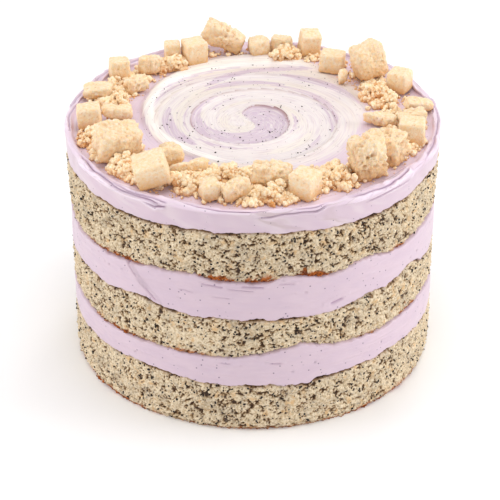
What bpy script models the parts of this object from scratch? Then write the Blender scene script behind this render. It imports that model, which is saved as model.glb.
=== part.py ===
"""A naked layer cake: three poppy-seed sponges with two bands of lilac buttercream between them,
a lilac icing with a marbled swirl on top, and a wreath of shortbread cubes, broken chunks and
crumbs round its edge.

The frame has its origin at the centre of the bottom sponge's foot, +Z up, and -Y is the front.
Driving dimensions are in millimetres, angles in degrees. An azimuth is 0 at the front and grows
towards +X, the cake's right.
"""

import math
import random

import bmesh
import bpy
import numpy as np
from mathutils import Euler, Matrix, Vector, noise
from mathutils.bvhtree import BVHTree

MM = 0.001

# The stack, from the table up
CAKE_RADIUS = 76.0
SEGMENTS = 72
SEAM_GAP = 0.3
INNER_RADIUS = 66.0

# Each seam between two layers is level inside the cake and wanders at the side. Its bumps are
# (azimuth, rise, half width along the side in degrees).
SEAM_LEVEL = {
    "sponge_1_top": 22.3,
    "filling_1_top": 34.6,
    "sponge_2_top": 52.9,
    "filling_2_top": 70.2,
    "icing_foot": 92.4,
}
SEAM_BUMPS = {
    "sponge_1_top": [(-36, 1.2, 10), (-9, -1.1, 7), (12, -1.8, 6), (50, 1.5, 20), (112, 1.4, 15),
                     (170, -1.3, 12), (-120, 1.2, 16)],
    "filling_1_top": [(-52, -1.1, 12), (3, 1.6, 7), (15, 5.6, 9), (31, 1.8, 7), (62, 2.7, 18),
                      (118, -1.6, 18), (165, 2.2, 12), (-135, 1.8, 14), (-98, -1.0, 9)],
    "sponge_2_top": [(-79, -1.6, 9), (-37, 2.8, 8), (40, 3.0, 8), (57, 6.2, 8), (84, 2.2, 9),
                     (125, -1.6, 14), (165, 2.0, 11), (-150, 2.2, 14), (-108, -1.4, 10)],
    "filling_2_top": [(-68, -3.6, 8), (-52, -2.2, 9), (-28, 1.0, 5), (-18, 2.0, 5), (12, 2.4, 5),
                      (37, 3.2, 6), (66, 0.8, 8), (108, -2.0, 12), (150, 1.8, 9), (-160, -1.6, 9),
                      (-118, 1.9, 11)],
    "icing_foot": [(-74, -1.3, 14), (-44, 0.4, 8), (-16, 0.9, 6), (62, 1.6, 24), (78, -2.4, 7),
                   (135, 1.0, 14), (-170, -0.9, 14), (-125, 1.1, 14)],
}

# How far the sides wander in and out. The two layers at a seam share its rim.
SPONGE_ROUGHNESS = 0.55
CREAM_ROUGHNESS = 0.25
SEAM_DRAW = 0.35
FOOT_DRAW = 1.3

# The icing: its side stands just proud of the sponge, and a lip runs round its top edge
ICING_TOP = 101.6
ICING_RADIUS = 77.1
LIP_START = 71.5
LIP_CREST_RADIUS = 75.3
LIP_HEIGHT = 1.2
LIP_SHOULDER = 1.6

# The swirl that a palette knife left: one arm that winds outwards clockwise, seen from above
SWIRL_RADIUS = 46.0
SWIRL_PITCH = 14.5
SWIRL_HEIGHT = 1.3
SWIRL_EYE = 6.0
SWIRL_SWELL = 0.7
SWIRL_SWELL_RADIUS = 41.0
SWIRL_RINGS = 11

# The wreath lies on the flat between the swirl and the lip
REST_GAP = 0.35
CRUMB_SINK = 0.28
CHUNK_CLEARANCE = 0.45

# name: (x, y), (width, depth, height), turn, (lean to the right, lean to the front), kind
CHUNKS = {
    "cube_01": ((20.2, -62.3), (10.0, 10.0, 10.0), -31, (0, 0), "cut"),
    "cube_02": ((-39.3, -56.5), (12.6, 12.0, 10.0), 4, (-17, 12), "cut"),
    "cube_03": ((-67.0, -5.0), (9.6, 8.5, 9.2), 3, (-6, 0), "cut"),
    "cube_04": ((-57.2, 40.2), (8.4, 8.0, 8.4), 12, (3, -4), "cut"),
    "cube_05": ((-35.2, 59.3), (6.8, 6.2, 8.5), 8, (0, 0), "cut"),
    "cube_06": ((-25.4, 58.0), (9.6, 9.6, 9.9), 24, (0, 0), "cut"),
    "cube_07": ((25.0, 64.5), (8.5, 8.0, 10.5), 15, (4, 12), "cut"),
    "cube_08": ((34.5, 48.5), (10.4, 8.5, 8.5), -10, (3, 0), "cut"),
    "cube_09": ((62.3, 28.0), (8.8, 8.8, 8.8), -29, (0, 0), "cut"),
    "cube_10": ((64.3, -19.2), (10.5, 8.5, 10.0), -8, (0, 3), "cut"),
    "chunk_01": ((-53.5, -32.5), (16.5, 13.0, 13.0), 20, (8, 12), "worn"),
    "chunk_02": ((-12.8, 67.4), (17.0, 8.6, 10.0), -8, (25, 5), "worn"),
    "chunk_03": ((49.3, 40.5), (12.5, 11.0, 14.5), 25, (-10, -14), "worn"),
    "chunk_04": ((44.5, -48.0), (13.5, 12.0, 17.0), 20, (-8, 4), "broken"),
    "chunk_05": ((54.5, -35.5), (11.0, 10.5, 12.5), -30, (0, 10), "broken"),
    "chunk_06": ((7.5, -54.5), (14.5, 9.0, 9.0), -10, (5, 0), "broken"),
    "chunk_07": ((-6.0, -67.2), (10.5, 7.2, 8.0), 8, (-5, 4), "broken"),
    "chunk_08": ((-16.2, -65.6), (7.2, 6.2, 7.5), 20, (0, 8), "worn"),
    "chunk_09": ((-32.5, -36.8), (10.0, 8.0, 7.5), 12, (0, 0), "broken"),
    "chunk_10": ((-56.0, 1.5), (11.0, 6.0, 5.5), 10, (8, 0), "worn"),
    "chunk_11": ((-65.5, 21.5), (11.5, 8.0, 6.0), -3, (-5, 4), "broken"),
    "chunk_12": ((-49.5, 28.0), (8.0, 7.0, 6.2), 35, (0, 0), "broken"),
    "chunk_13": ((-44.2, 46.0), (9.0, 7.5, 7.5), 10, (6, 0), "broken"),
    "chunk_14": ((3.0, 65.3), (9.0, 7.6, 7.5), 15, (0, 0), "broken"),
    "chunk_15": ((12.8, 69.0), (8.5, 6.0, 6.5), -12, (0, 0), "worn"),
    "chunk_16": ((69.0, 8.5), (11.0, 6.5, 5.0), 20, (12, 6), "worn"),
    "chunk_17": ((65.5, -3.5), (11.0, 8.0, 7.0), 10, (0, 0), "broken"),
    "chunk_18": ((51.8, -4.0), (12.0, 7.5, 5.5), -12, (0, 0), "broken"),
    "chunk_19": ((-25.0, -45.0), (14.0, 5.0, 4.5), 25, (0, 0), "worn"),
    "chunk_20": ((38.8, 34.5), (4.2, 3.8, 6.2), 30, (0, 0), "broken"),
}
CUT_EDGE = 0.9
CHUNK_SPREAD = 1.9
EGG_REACH = 1.25
CHUNK_ROUND = {"worn": 0.30, "broken": 0.45}
CHUNK_CRAGS = {"cut": 0.25, "worn": 0.75, "broken": 1.25}
CRAG_SCALE = 3.4

# name: (x, y), (length along the wreath, width, height)
CRUMBLES = {
    "crumble_01": ((-51.0, -44.8), (13, 8, 5.0)),
    "crumble_02": ((-24.5, -57.5), (13, 11, 4.5)),
    "crumble_03": ((-9.0, -51.5), (15, 8, 4.0)),
    "crumble_04": ((7.0, -66.5), (13, 8, 4.0)),
    "crumble_05": ((31.8, -51.0), (16, 15, 5.0)),
    "crumble_06": ((53.0, 20.0), (18, 12, 5.0)),
    "crumble_07": ((53.5, -20.0), (13, 9, 4.0)),
    "crumble_08": ((14.0, 61.0), (13, 7, 4.0)),
    "crumble_09": ((-34.0, 51.0), (12, 8, 4.5)),
    "crumble_10": ((-56.5, 14.0), (12, 9, 4.5)),
    "crumble_11": ((-67.5, -17.5), (14, 7, 3.5)),
    "crumble_12": ((-57.0, 29.5), (11, 7, 4.5)),
}
CORE_RISE = 0.62
CORE_SWING = 0.22
CRUMB_SIZES = (3.0, 5.4)
CRUMB_REACH = 0.62
CRUMB_SWING = 0.38
CRUMB_FOOT_GAP = 0.15
CRUMB_AREA_EACH = 24.0
CRUMB_SEED = 41

SPONGE_COLOUR = (0.64, 0.50, 0.33)
LILAC_COLOUR = (0.72, 0.55, 0.66)
CRUMB_COLOUR = (0.86, 0.60, 0.32)


def clear_scene():
    """Removes every object, so that only the cake is left."""
    for obj in list(bpy.data.objects):
        bpy.data.objects.remove(obj)


def material(name, colour, roughness):
    """A plain Principled finish."""
    made = bpy.data.materials.new(name)
    made.use_nodes = True
    shader = made.node_tree.nodes["Principled BSDF"]
    shader.inputs["Base Color"].default_value = (*colour, 1)
    shader.inputs["Roughness"].default_value = roughness
    shader.inputs["Metallic"].default_value = 0
    made.diffuse_color = (*colour, 1)
    return made


def collection(name, shown=True):
    """A collection in the scene. A hidden one holds the cutters."""
    made = bpy.data.collections.new(name)
    bpy.context.scene.collection.children.link(made)
    made.hide_render = not shown
    return made


def smoothstep(low, high, value):
    """0 below low, 1 above high, with a soft slope between them."""
    share = np.clip((value - low) / (high - low), 0, 1)
    return share * share * (3 - 2 * share)


def azimuth_of(x, y):
    """The azimuths of points, in degrees from -180 to 180."""
    return np.degrees(np.arctan2(x, -y))


def seam_height(seam, azimuth, radius):
    """A seam's height: its level, with each bump a bell curve that fades evenly inside the cake."""
    rise = np.zeros_like(azimuth)
    for centre, height, half_width in SEAM_BUMPS[seam]:
        away = (azimuth - centre + 180) % 360 - 180
        rise += height * np.exp(-((away / half_width) ** 2))
    return SEAM_LEVEL[seam] + rise * np.maximum(radius - INNER_RADIUS, 0) / (CAKE_RADIUS - INNER_RADIUS)


def between_seams(lower, upper, x, y, share):
    """The heights of points that stand this share of the way from the lower seam to the upper."""
    radius, azimuth = np.hypot(x, y), azimuth_of(x, y)
    top = seam_height(upper, azimuth, radius) - SEAM_GAP / 2
    foot = seam_height(lower, azimuth, radius) + SEAM_GAP / 2 if lower else np.zeros_like(x)
    return foot + (top - foot) * share


def rim_reach(seam, x, y):
    """How far a seam's rim stands out from the cake's radius."""
    if seam is None:
        return np.full_like(x, -FOOT_DRAW)
    return CREAM_ROUGHNESS * rough(x, y, np.full_like(x, SEAM_LEVEL[seam]), 3, 12.0) - SEAM_DRAW


def rough(x, y, z, seed, scale):
    """Smooth noise from -1 to 1 at each point, with features about scale millimetres across."""
    points = np.stack([x, y, z + 37.0 * seed], axis=1) / scale
    return np.array([noise.noise(Vector(point)) for point in points])


def turned(profile):
    """The vertices and faces of a profile turned about the axis, with its ends closed there."""
    mesh = bpy.data.meshes.new("profile")
    edges = [(i, i + 1) for i in range(len(profile) - 1)]
    mesh.from_pydata([(radius * MM, 0, height * MM) for radius, height in profile], edges, [])
    obj = bpy.data.objects.new("profile", mesh)
    bpy.context.scene.collection.objects.link(obj)
    screw = obj.modifiers.new("turn", "SCREW")
    screw.steps = screw.render_steps = SEGMENTS
    screw.use_merge_vertices = True
    screw.merge_threshold = 1e-6
    graph = bpy.context.evaluated_depsgraph_get()
    made = bpy.data.meshes.new_from_object(obj.evaluated_get(graph))
    bpy.data.objects.remove(obj)
    return made


def add_object(name, mesh, finish, group):
    """One solid of the cake, with its finish, as a smooth-shaded object."""
    mesh.materials.clear()
    mesh.materials.append(finish)
    mesh.shade_smooth()
    mesh.set_sharp_from_angle(angle=math.radians(40))
    mesh.name = name
    obj = bpy.data.objects.new(name, mesh)
    group.objects.link(obj)
    return obj


def points_of(mesh):
    """The mesh's vertices in millimetres."""
    flat = np.empty(len(mesh.vertices) * 3)
    mesh.vertices.foreach_get("co", flat)
    return flat.reshape(-1, 3) / MM


def set_points(mesh, points):
    """Moves the mesh's vertices to these points, in millimetres."""
    mesh.vertices.foreach_set("co", (points * MM).ravel())
    mesh.update()


def split_faces(mesh):
    """Cuts each four-sided face along its shorter diagonal, so that the two sides of a seam match."""
    work = bmesh.new()
    work.from_mesh(mesh)
    bmesh.ops.triangulate(work, faces=work.faces[:], quad_method="SHORT_EDGE")
    work.to_mesh(mesh)
    work.free()


def layer(name, lower, upper, rows, wander, finish, group, seed):
    """A disc between two seams. A row is a share of its height, and the side wanders in and out
    between the two rims."""
    shape = [(0, 1), (INNER_RADIUS, 1)]
    shape += [(CAKE_RADIUS, share) for share in (1, *rows, 0)]
    shape += [(INNER_RADIUS, 0), (0, 0)]
    mesh = turned(shape)
    x, y, share = points_of(mesh).T
    at_side = np.hypot(x, y) > CAKE_RADIUS - 1
    height = share * SEAM_LEVEL[upper]
    reach = wander * (rough(x, y, height, seed, 6.0) + 0.5 * rough(x, y, height, seed + 1, 19.0))
    reach = np.where(share > 0.999, rim_reach(upper, x, y), reach)
    reach = np.where(share < 0.001, rim_reach(lower, x, y), reach)
    grow = np.where(at_side, 1 + reach / CAKE_RADIUS, 1)
    x, y = x * grow, y * grow
    z = between_seams(lower, upper, x, y, share)
    set_points(mesh, np.stack([x, y, z], axis=1))
    split_faces(mesh)
    return add_object(name, mesh, finish, group)


def swirl_relief(x, y):
    """The knife's spiral: a crest where angle plus turns of radius is a whole number of turns."""
    radius = np.hypot(x, y)
    phase = np.arctan2(y, x) + 2 * math.pi * radius / SWIRL_PITCH
    crest = (0.5 + 0.5 * np.cos(phase)) ** 1.6
    inside = smoothstep(0, SWIRL_EYE, radius) * (1 - smoothstep(SWIRL_RADIUS - 7, SWIRL_RADIUS, radius))
    swell = SWIRL_SWELL * np.exp(-(((radius - SWIRL_SWELL_RADIUS) / 3.2) ** 2))
    swell = swell * (1 - smoothstep(SWIRL_RADIUS - 3, SWIRL_RADIUS, radius))
    return SWIRL_HEIGHT * (crest - 0.45) * inside + swell


def lip_relief(x, y):
    """The lip that scraping the side pushed up and folded in, higher in some places than others."""
    radius = np.hypot(x, y)
    turn = np.radians(azimuth_of(x, y))
    height = LIP_HEIGHT * (0.8 + 0.3 * np.cos(3 * turn + 0.6) + 0.25 * np.sin(7 * turn))
    return height * smoothstep(LIP_START, LIP_CREST_RADIUS, radius)


def icing(lower, finish, group):
    """The top icing: a disc with the swirl in the middle, a flat for the wreath and a raised lip."""
    swirl_rings = [SWIRL_RADIUS * (i + 1) / SWIRL_RINGS for i in range(SWIRL_RINGS)]
    shape = [(0, 1)]
    shape += [(radius, 1) for radius in [*swirl_rings, 50.0, LIP_START, 73.6, LIP_CREST_RADIUS]]
    shape += [(ICING_RADIUS - 0.3, 0.85), (ICING_RADIUS, 0.45), (CAKE_RADIUS, 0), (INNER_RADIUS, 0), (0, 0)]
    mesh = turned(shape)
    x, y, share = points_of(mesh).T
    on_top = share > 0.99
    at_side = ~on_top & (np.hypot(x, y) > INNER_RADIUS + 1)
    reach = CREAM_ROUGHNESS * rough(x, y, share * 10, 9, 14.0)
    reach = np.where(share < 0.01, rim_reach(lower, x, y), reach)
    grow = np.where(at_side, 1 + reach / CAKE_RADIUS, 1)
    x, y = x * grow, y * grow
    foot = seam_height(lower, azimuth_of(x, y), np.hypot(x, y)) + SEAM_GAP / 2
    crest = ICING_TOP + lip_relief(x, y)
    z = np.where(on_top, crest + swirl_relief(x, y), foot + (crest - LIP_SHOULDER * 0.2 - foot) * share)
    set_points(mesh, np.stack([x, y, z], axis=1))
    split_faces(mesh)
    return add_object("icing_top", mesh, finish, group)


def chunk_mesh(size, kind, seed):
    """One cube or broken piece about its own centre. A cube is a box with its edges taken off. A
    worn or broken one is a box of small faces, drawn part of the way to an egg and then cragged."""
    half = Vector(size) / 2
    work = bmesh.new()
    bmesh.ops.create_cube(work, size=2)
    if kind == "cut":
        bmesh.ops.scale(work, vec=half, verts=work.verts)
        bmesh.ops.bevel(work, geom=work.edges[:], offset=CUT_EDGE, segments=1, affect="EDGES")
    else:
        bmesh.ops.subdivide_edges(work, edges=work.edges[:], cuts=2, use_grid_fill=True)
        for vert in work.verts:
            spread = Vector(max(-1, min(1, c * CHUNK_SPREAD)) for c in vert.co)
            egg = spread.normalized() * EGG_REACH
            blend = spread.lerp(egg, CHUNK_ROUND[kind])
            vert.co = Vector((blend.x * half.x, blend.y * half.y, blend.z * half.z))
    for vert in work.verts:
        spot = vert.co / CRAG_SCALE + Vector((seed * 5.3, seed * 2.9, 0))
        crag = Vector([noise.noise(spot + Vector((0, 0, 17 * axis))) for axis in range(3)])
        vert.co += crag * CHUNK_CRAGS[kind]
    bmesh.ops.triangulate(work, faces=work.faces[:])
    bmesh.ops.recalc_face_normals(work, faces=work.faces[:])
    for vert in work.verts:
        vert.co *= MM
    mesh = bpy.data.meshes.new("chunk")
    work.to_mesh(mesh)
    work.free()
    return mesh


def tree_of(mesh):
    """A search tree over the mesh's faces."""
    return BVHTree.FromPolygons([v.co for v in mesh.vertices], [p.vertices for p in mesh.polygons])


def settle(mesh, top):
    """Drops the mesh straight down until its smallest gap to the icing is the rest gap. The gaps are
    measured below each of its corners and above each of the icing's."""
    below, piece = tree_of(top.data), tree_of(mesh)
    gaps = []
    for vert in mesh.vertices:
        hit = below.ray_cast(Vector((vert.co.x, vert.co.y, 1)), Vector((0, 0, -1)))[0]
        if hit is not None:
            gaps.append(vert.co.z - hit.z)
    for vert in top.data.vertices:
        hit = piece.ray_cast(Vector((vert.co.x, vert.co.y, 0)), Vector((0, 0, 1)))[0]
        if hit is not None and vert.co.z > ICING_TOP * MM / 2:
            gaps.append(hit.z - vert.co.z)
    mesh.transform(Matrix.Translation((0, 0, REST_GAP * MM - min(gaps))))


def chunk(name, spec, seed, top, finish, group):
    """One of the wreath's large pieces, leaned, turned and set down on the icing."""
    (x, y), size, turn, leans, kind = spec
    mesh = chunk_mesh(size, kind, seed)
    lean = Euler((math.radians(leans[1]), math.radians(leans[0]), 0)).to_matrix().to_4x4()
    spot = Matrix.Translation((x * MM, y * MM, (ICING_TOP + 20) * MM))
    mesh.transform(spot @ Matrix.Rotation(math.radians(turn), 4, "Z") @ lean)
    settle(mesh, top)
    return add_object(name, mesh, finish, group)


def grown_copy(obj, amount, group):
    """The same piece, each face a little further out: what the crumbs are kept clear of."""
    mesh = obj.data.copy()
    for vert in mesh.vertices:
        vert.co += vert.normal * amount * MM
    made = bpy.data.objects.new(obj.name + "_clearance", mesh)
    made.hide_render = True
    made.display_type = "WIRE"
    group.objects.link(made)
    return made


def along_wreath(centre, along, out):
    """The point this far along the wreath, anticlockwise, and this far outwards from the centre."""
    distance = math.hypot(*centre)
    turn = math.atan2(centre[1], centre[0]) + along / distance
    return (distance + out) * math.cos(turn), (distance + out) * math.sin(turn)


def heap_core(centre, size, seed):
    """A low mound with an uneven outline and a flat foot, bent along the wreath."""
    length, width, height = size
    work = bmesh.new()
    bmesh.ops.create_icosphere(work, subdivisions=2, radius=1)
    foot = ICING_TOP + REST_GAP
    for vert in work.verts:
        swing = 1 + CORE_SWING * noise.noise(vert.co * 1.7 + Vector((seed * 3.1, 0, 0)))
        x, y = along_wreath(centre, vert.co.x * length / 2 * swing, vert.co.y * width / 2 * swing)
        up = max(vert.co.z, 0) * height * CORE_RISE * swing
        vert.co = Vector((x, y, foot + up)) * MM
    bmesh.ops.triangulate(work, faces=work.faces[:])
    bmesh.ops.recalc_face_normals(work, faces=work.faces[:])
    mesh = bpy.data.meshes.new("heap")
    work.to_mesh(mesh)
    work.free()
    return mesh


def crumb_mesh(centre, size, seed):
    """One crumb: a twenty-faced grain pulled out of shape, kept off the mound's flat foot."""
    work = bmesh.new()
    bmesh.ops.create_icosphere(work, subdivisions=1, radius=size / 2)
    lowest = ICING_TOP + REST_GAP + CRUMB_FOOT_GAP
    for vert in work.verts:
        vert.co *= 1 + CRUMB_SWING * noise.noise(vert.co * 0.9 + Vector((seed * 1.7, seed * 0.9, 4)))
        vert.co += Vector(centre)
        vert.co.z = max(vert.co.z, lowest)
    for vert in work.verts:
        vert.co *= MM
    bmesh.ops.dissolve_degenerate(work, dist=1e-5, edges=work.edges[:])
    bmesh.ops.triangulate(work, faces=work.faces[:])
    mesh = bpy.data.meshes.new("crumb")
    work.to_mesh(mesh)
    work.free()
    return mesh


def clear_of(centre, radius, trees):
    """Whether a ball, in millimetres, touches none of the pieces in the trees."""
    for tree in trees:
        near, normal, _, distance = tree.find_nearest(centre * MM)
        if distance < radius * MM or (centre * MM - near).dot(normal) < 0:
            return False
    return True


def largest_shell(mesh):
    """Keeps the largest connected piece of the mesh and drops loose scraps."""
    work = bmesh.new()
    work.from_mesh(mesh)
    bmesh.ops.remove_doubles(work, verts=work.verts, dist=2e-6)
    bmesh.ops.dissolve_degenerate(work, dist=2e-6, edges=work.edges[:])
    left = set(work.verts)
    shells = []
    while left:
        front = [left.pop()]
        shell = set(front)
        while front:
            vert = front.pop()
            for edge in vert.link_edges:
                other = edge.other_vert(vert)
                if other in left:
                    left.remove(other)
                    shell.add(other)
                    front.append(other)
        shells.append(shell)
    keep = max(shells, key=len)
    bmesh.ops.delete(work, geom=[v for v in work.verts if v not in keep], context="VERTS")
    bmesh.ops.triangulate(work, faces=work.faces[:])
    work.to_mesh(mesh)
    work.free()


def boolean(obj, operation, group):
    """Joins the group's objects to obj, or cuts them from it, and applies the result."""
    cut = obj.modifiers.new(operation.lower(), "BOOLEAN")
    cut.operation = operation
    cut.operand_type = "COLLECTION"
    cut.collection = group
    cut.solver = "EXACT"
    graph = bpy.context.evaluated_depsgraph_get()
    made = bpy.data.meshes.new_from_object(obj.evaluated_get(graph))
    obj.modifiers.remove(cut)
    obj.data = made
    return made


def crumble(name, spec, number, chunks, clearances, finish, group):
    """A heap of crumbs between the chunks: a mound cut clear of them, with crumbs fused on."""
    centre, size = spec
    obj = add_object(name, heap_core(centre, size, number), finish, group)
    boolean(obj, "DIFFERENCE", clearances)
    largest_shell(obj.data)
    mound = tree_of(obj.data)
    draw = random.Random(CRUMB_SEED + number)
    crumbs = collection(name + "_crumbs", shown=False)
    wanted = round(size[0] * size[1] / CRUMB_AREA_EACH)
    spots = []
    for attempt in range(wanted * 6):
        if len(spots) >= wanted:
            break
        along, out = draw.uniform(-0.5, 0.5), draw.uniform(-0.5, 0.5)
        reach = draw.uniform(*CRUMB_SIZES)
        seed = draw.randint(1, 999)
        x, y = along_wreath(centre, along * size[0], out * size[1])
        start = Vector((x * MM, y * MM, 1.0))
        hit = mound.ray_cast(start, Vector((0, 0, -1)))[0]
        if hit is None:
            continue
        spot = hit / MM + Vector((0, 0, reach * (0.5 - CRUMB_SINK)))
        radius = reach * CRUMB_REACH
        if math.hypot(x, y) + radius > LIP_START or not clear_of(spot, radius + CHUNK_CLEARANCE, chunks):
            continue
        if all((spot - other).length > radius for other in spots):
            spots.append(spot)
            piece = bpy.data.objects.new(f"{name}_crumb_{attempt}", crumb_mesh(spot, reach, seed))
            crumbs.objects.link(piece)
    boolean(obj, "UNION", crumbs)
    largest_shell(obj.data)
    for piece in list(crumbs.objects):
        bpy.data.objects.remove(piece)
    bpy.data.collections.remove(crumbs)
    return obj


def main():
    clear_scene()
    cake = collection("layer_cake")
    cutters = collection("clearances", shown=False)
    bread = material("poppy_seed_sponge", SPONGE_COLOUR, 0.9)
    lilac = material("lilac_buttercream", LILAC_COLOUR, 0.5)
    crumb = material("shortbread", CRUMB_COLOUR, 0.85)

    bread_rows, cream_rows = (0.9, 0.1), (0.5,)
    layer("sponge_1", None, "sponge_1_top", bread_rows, SPONGE_ROUGHNESS, bread, cake, 1)
    layer("filling_1", "sponge_1_top", "filling_1_top", cream_rows, CREAM_ROUGHNESS, lilac, cake, 2)
    layer("sponge_2", "filling_1_top", "sponge_2_top", bread_rows, SPONGE_ROUGHNESS, bread, cake, 3)
    layer("filling_2", "sponge_2_top", "filling_2_top", cream_rows, CREAM_ROUGHNESS, lilac, cake, 4)
    layer("sponge_3", "filling_2_top", "icing_foot", bread_rows, SPONGE_ROUGHNESS, bread, cake, 5)
    top = icing("icing_foot", lilac, cake)

    chunks = []
    for number, (name, spec) in enumerate(CHUNKS.items(), 1):
        made = chunk(name, spec, number, top, crumb, cake)
        chunks.append(made)
        grown_copy(made, CHUNK_CLEARANCE, cutters)
    trees = [tree_of(made.data) for made in chunks]
    for number, (name, spec) in enumerate(CRUMBLES.items(), 1):
        crumble(name, spec, number, trees, cutters, crumb, cake)


main()
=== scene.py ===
# %% [markdown]
# # Dressing a naked layer cake
#
# The CAD model already holds the cake's true sizes: three poppy-seed sponges, two bands of lilac
# buttercream, a top icing and a wreath of shortbread. This notebook gives each of them its looks.
# Every new surface is worked out with numpy as whole arrays, in millimetres, and goes into
# Blender in metres.

# %% Load the frame
import math

import bpy
import numpy as np
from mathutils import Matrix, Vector


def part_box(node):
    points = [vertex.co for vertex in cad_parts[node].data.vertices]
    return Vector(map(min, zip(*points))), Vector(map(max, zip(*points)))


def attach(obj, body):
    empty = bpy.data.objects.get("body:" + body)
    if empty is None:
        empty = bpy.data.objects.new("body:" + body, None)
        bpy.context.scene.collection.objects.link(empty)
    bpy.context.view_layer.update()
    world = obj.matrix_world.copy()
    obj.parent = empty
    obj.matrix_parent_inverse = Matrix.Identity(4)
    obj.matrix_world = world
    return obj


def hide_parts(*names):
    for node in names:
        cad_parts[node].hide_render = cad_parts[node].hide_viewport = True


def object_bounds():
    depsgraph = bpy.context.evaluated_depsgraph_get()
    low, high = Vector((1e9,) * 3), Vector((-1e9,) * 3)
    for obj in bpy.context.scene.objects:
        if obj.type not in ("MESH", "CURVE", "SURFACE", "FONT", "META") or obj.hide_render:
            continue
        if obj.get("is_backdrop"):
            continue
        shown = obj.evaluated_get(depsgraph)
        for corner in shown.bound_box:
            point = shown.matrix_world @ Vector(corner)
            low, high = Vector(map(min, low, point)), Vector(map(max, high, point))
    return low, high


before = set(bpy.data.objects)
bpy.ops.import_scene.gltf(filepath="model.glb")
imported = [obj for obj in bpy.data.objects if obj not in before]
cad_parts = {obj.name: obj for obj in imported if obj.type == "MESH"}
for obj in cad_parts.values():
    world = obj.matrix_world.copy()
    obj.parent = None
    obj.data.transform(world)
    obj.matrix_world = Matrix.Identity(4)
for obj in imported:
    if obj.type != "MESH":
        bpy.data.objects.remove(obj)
cad_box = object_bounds()
MM = 0.001
TURN = 2 * math.pi
print("nodes in the frame:", len(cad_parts))

# %% [markdown]
# ## The camera
#
# The photograph looks down on the cake from a little under a metre away. A long lens from far off
# would flatten the rings, and a short one near by would taper the stack more than the real view.


# %% Place the camera
def new_object(name, data):
    """An object with this data, in the scene."""
    made = bpy.data.objects.new(name, data)
    bpy.context.scene.collection.objects.link(made)
    return made


CAMERA_SPOT = (0.0, -0.7245, 0.4705)
CAMERA_DOWN = 30.71
LENS = 141.4
FRAME_SHIFT = -0.0054

view = bpy.data.cameras.new("view")
view.lens = LENS
view.shift_x = FRAME_SHIFT
camera = new_object("view", view)
camera.location = CAMERA_SPOT
camera.rotation_euler = (math.radians(90 - CAMERA_DOWN), 0, 0)
bpy.context.scene.camera = camera
print("camera:", LENS, "mm lens,", CAMERA_DOWN, "degrees down")

# %% [markdown]
# ## Noise
#
# Crumb, torn bread and smeared cream have no outline that one could draw, so they are made from
# repeatable noise. Blender's own noise works on one point at a time. Here the same idea is
# written for whole arrays: a fixed number belongs to each corner of a grid of cells, and a point
# takes a smooth mix of the numbers round it.


# %% Noise for whole arrays
LARGE_ODD = np.array([374761393, 668265263, 1440662683])
SEED_STEP = 974711
LOW_31_BITS = 0x7FFFFFFF
LOW_20_BITS = 0xFFFFF


def lattice(cell, seed):
    """A repeatable number from 0 to 1 for each cell of a grid. The cell's three whole numbers are
    each multiplied by a large odd number and added up, and the sum's bits are mixed twice."""
    mixed = (cell @ LARGE_ODD + seed * SEED_STEP) & LOW_31_BITS
    for shift, factor in ((13, 1274126177), (16, 668265263)):
        mixed = (mixed ^ (mixed >> shift)) * factor & LOW_31_BITS
    return (mixed >> 7 & LOW_20_BITS) / LOW_20_BITS


def noise(points, size, seed=0):
    """Smooth noise from 0 to 1. The numbers at the eight corners of a point's cell are mixed, with
    the share 3t^2 - 2t^3 along each side. A cell is size millimetres wide."""
    spot = points / np.asarray(size)
    cell = np.floor(spot).astype(np.int64)
    share = spot - cell
    share = share * share * (3 - 2 * share)
    total = np.zeros(points.shape[:-1])
    for corner in np.ndindex(2, 2, 2):
        weight = np.prod(np.where(corner, share, 1 - share), axis=-1)
        total += weight * lattice(cell + np.array(corner), seed)
    return total


def fractal(points, size, seed=0, octaves=3):
    """Layers of noise from 0 to 1, each half as wide and half as strong as the one before."""
    shares = 0.5 ** np.arange(octaves)
    layers = [share * noise(points, np.asarray(size) * share, seed + 31 * i) for i, share in enumerate(shares)]
    return sum(layers) / shares.sum()


def swing(points, size, seed=0, octaves=3):
    """The same layers of noise, from -0.5 to 0.5."""
    return fractal(points, size, seed, octaves) - 0.5


def cells(points, size, seed=0):
    """(distance to the nearest scattered point, that point's own number from 0 to 1). One point
    lies in each cell of a grid, and the distance is a share of the cell's width."""
    spot = points / np.asarray(size)
    cell = np.floor(spot).astype(np.int64)
    nearest = np.full(points.shape[:-1], np.inf)
    number = np.zeros(points.shape[:-1])
    for step in np.ndindex(3, 3, 3):
        home = cell + np.array(step) - 1
        centre = home + np.stack([lattice(home, seed + axis) for axis in range(3)], axis=-1)
        distance = np.linalg.norm(spot - centre, axis=-1)
        closer = distance < nearest
        nearest = np.where(closer, distance, nearest)
        number = np.where(closer, lattice(home, seed + 3), number)
    return nearest, number


def smooth(low, high, value):
    """0 up to low, 1 from high on, and 3t^2 - 2t^3 between them."""
    share = np.clip((value - low) / (high - low), 0, 1)
    return share * share * (3 - 2 * share)


# %% [markdown]
# ## From arrays to meshes
#
# A turned thing such as a layer of cake is a grid of points: its rows run from the middle of its
# foot over its side to the middle of its top, and its columns run round in a ring. The four
# corners of each cell make a face, and a fan closes each end.


# %% Grids that close into a ring
def ring_grid(points):
    """(points, quads, triangles) of a grid of rows by columns. The columns close into a ring, and
    each end row is closed by a fan to the row's middle."""
    rows, columns = points.shape[:2]
    index = np.arange(rows * columns).reshape(rows, columns)
    beside = np.roll(index, -1, axis=1)
    quads = np.stack([index[:-1], beside[:-1], beside[1:], index[1:]], axis=-1).reshape(-1, 4)
    foot = np.full(columns, rows * columns)
    fans = [np.stack([foot, beside[0], index[0]], axis=-1), np.stack([foot + 1, index[-1], beside[-1]], axis=-1)]
    middles = np.stack([points[0].mean(axis=0), points[-1].mean(axis=0)])
    return np.concatenate([points.reshape(-1, 3), middles]), quads, np.concatenate(fans)


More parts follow.
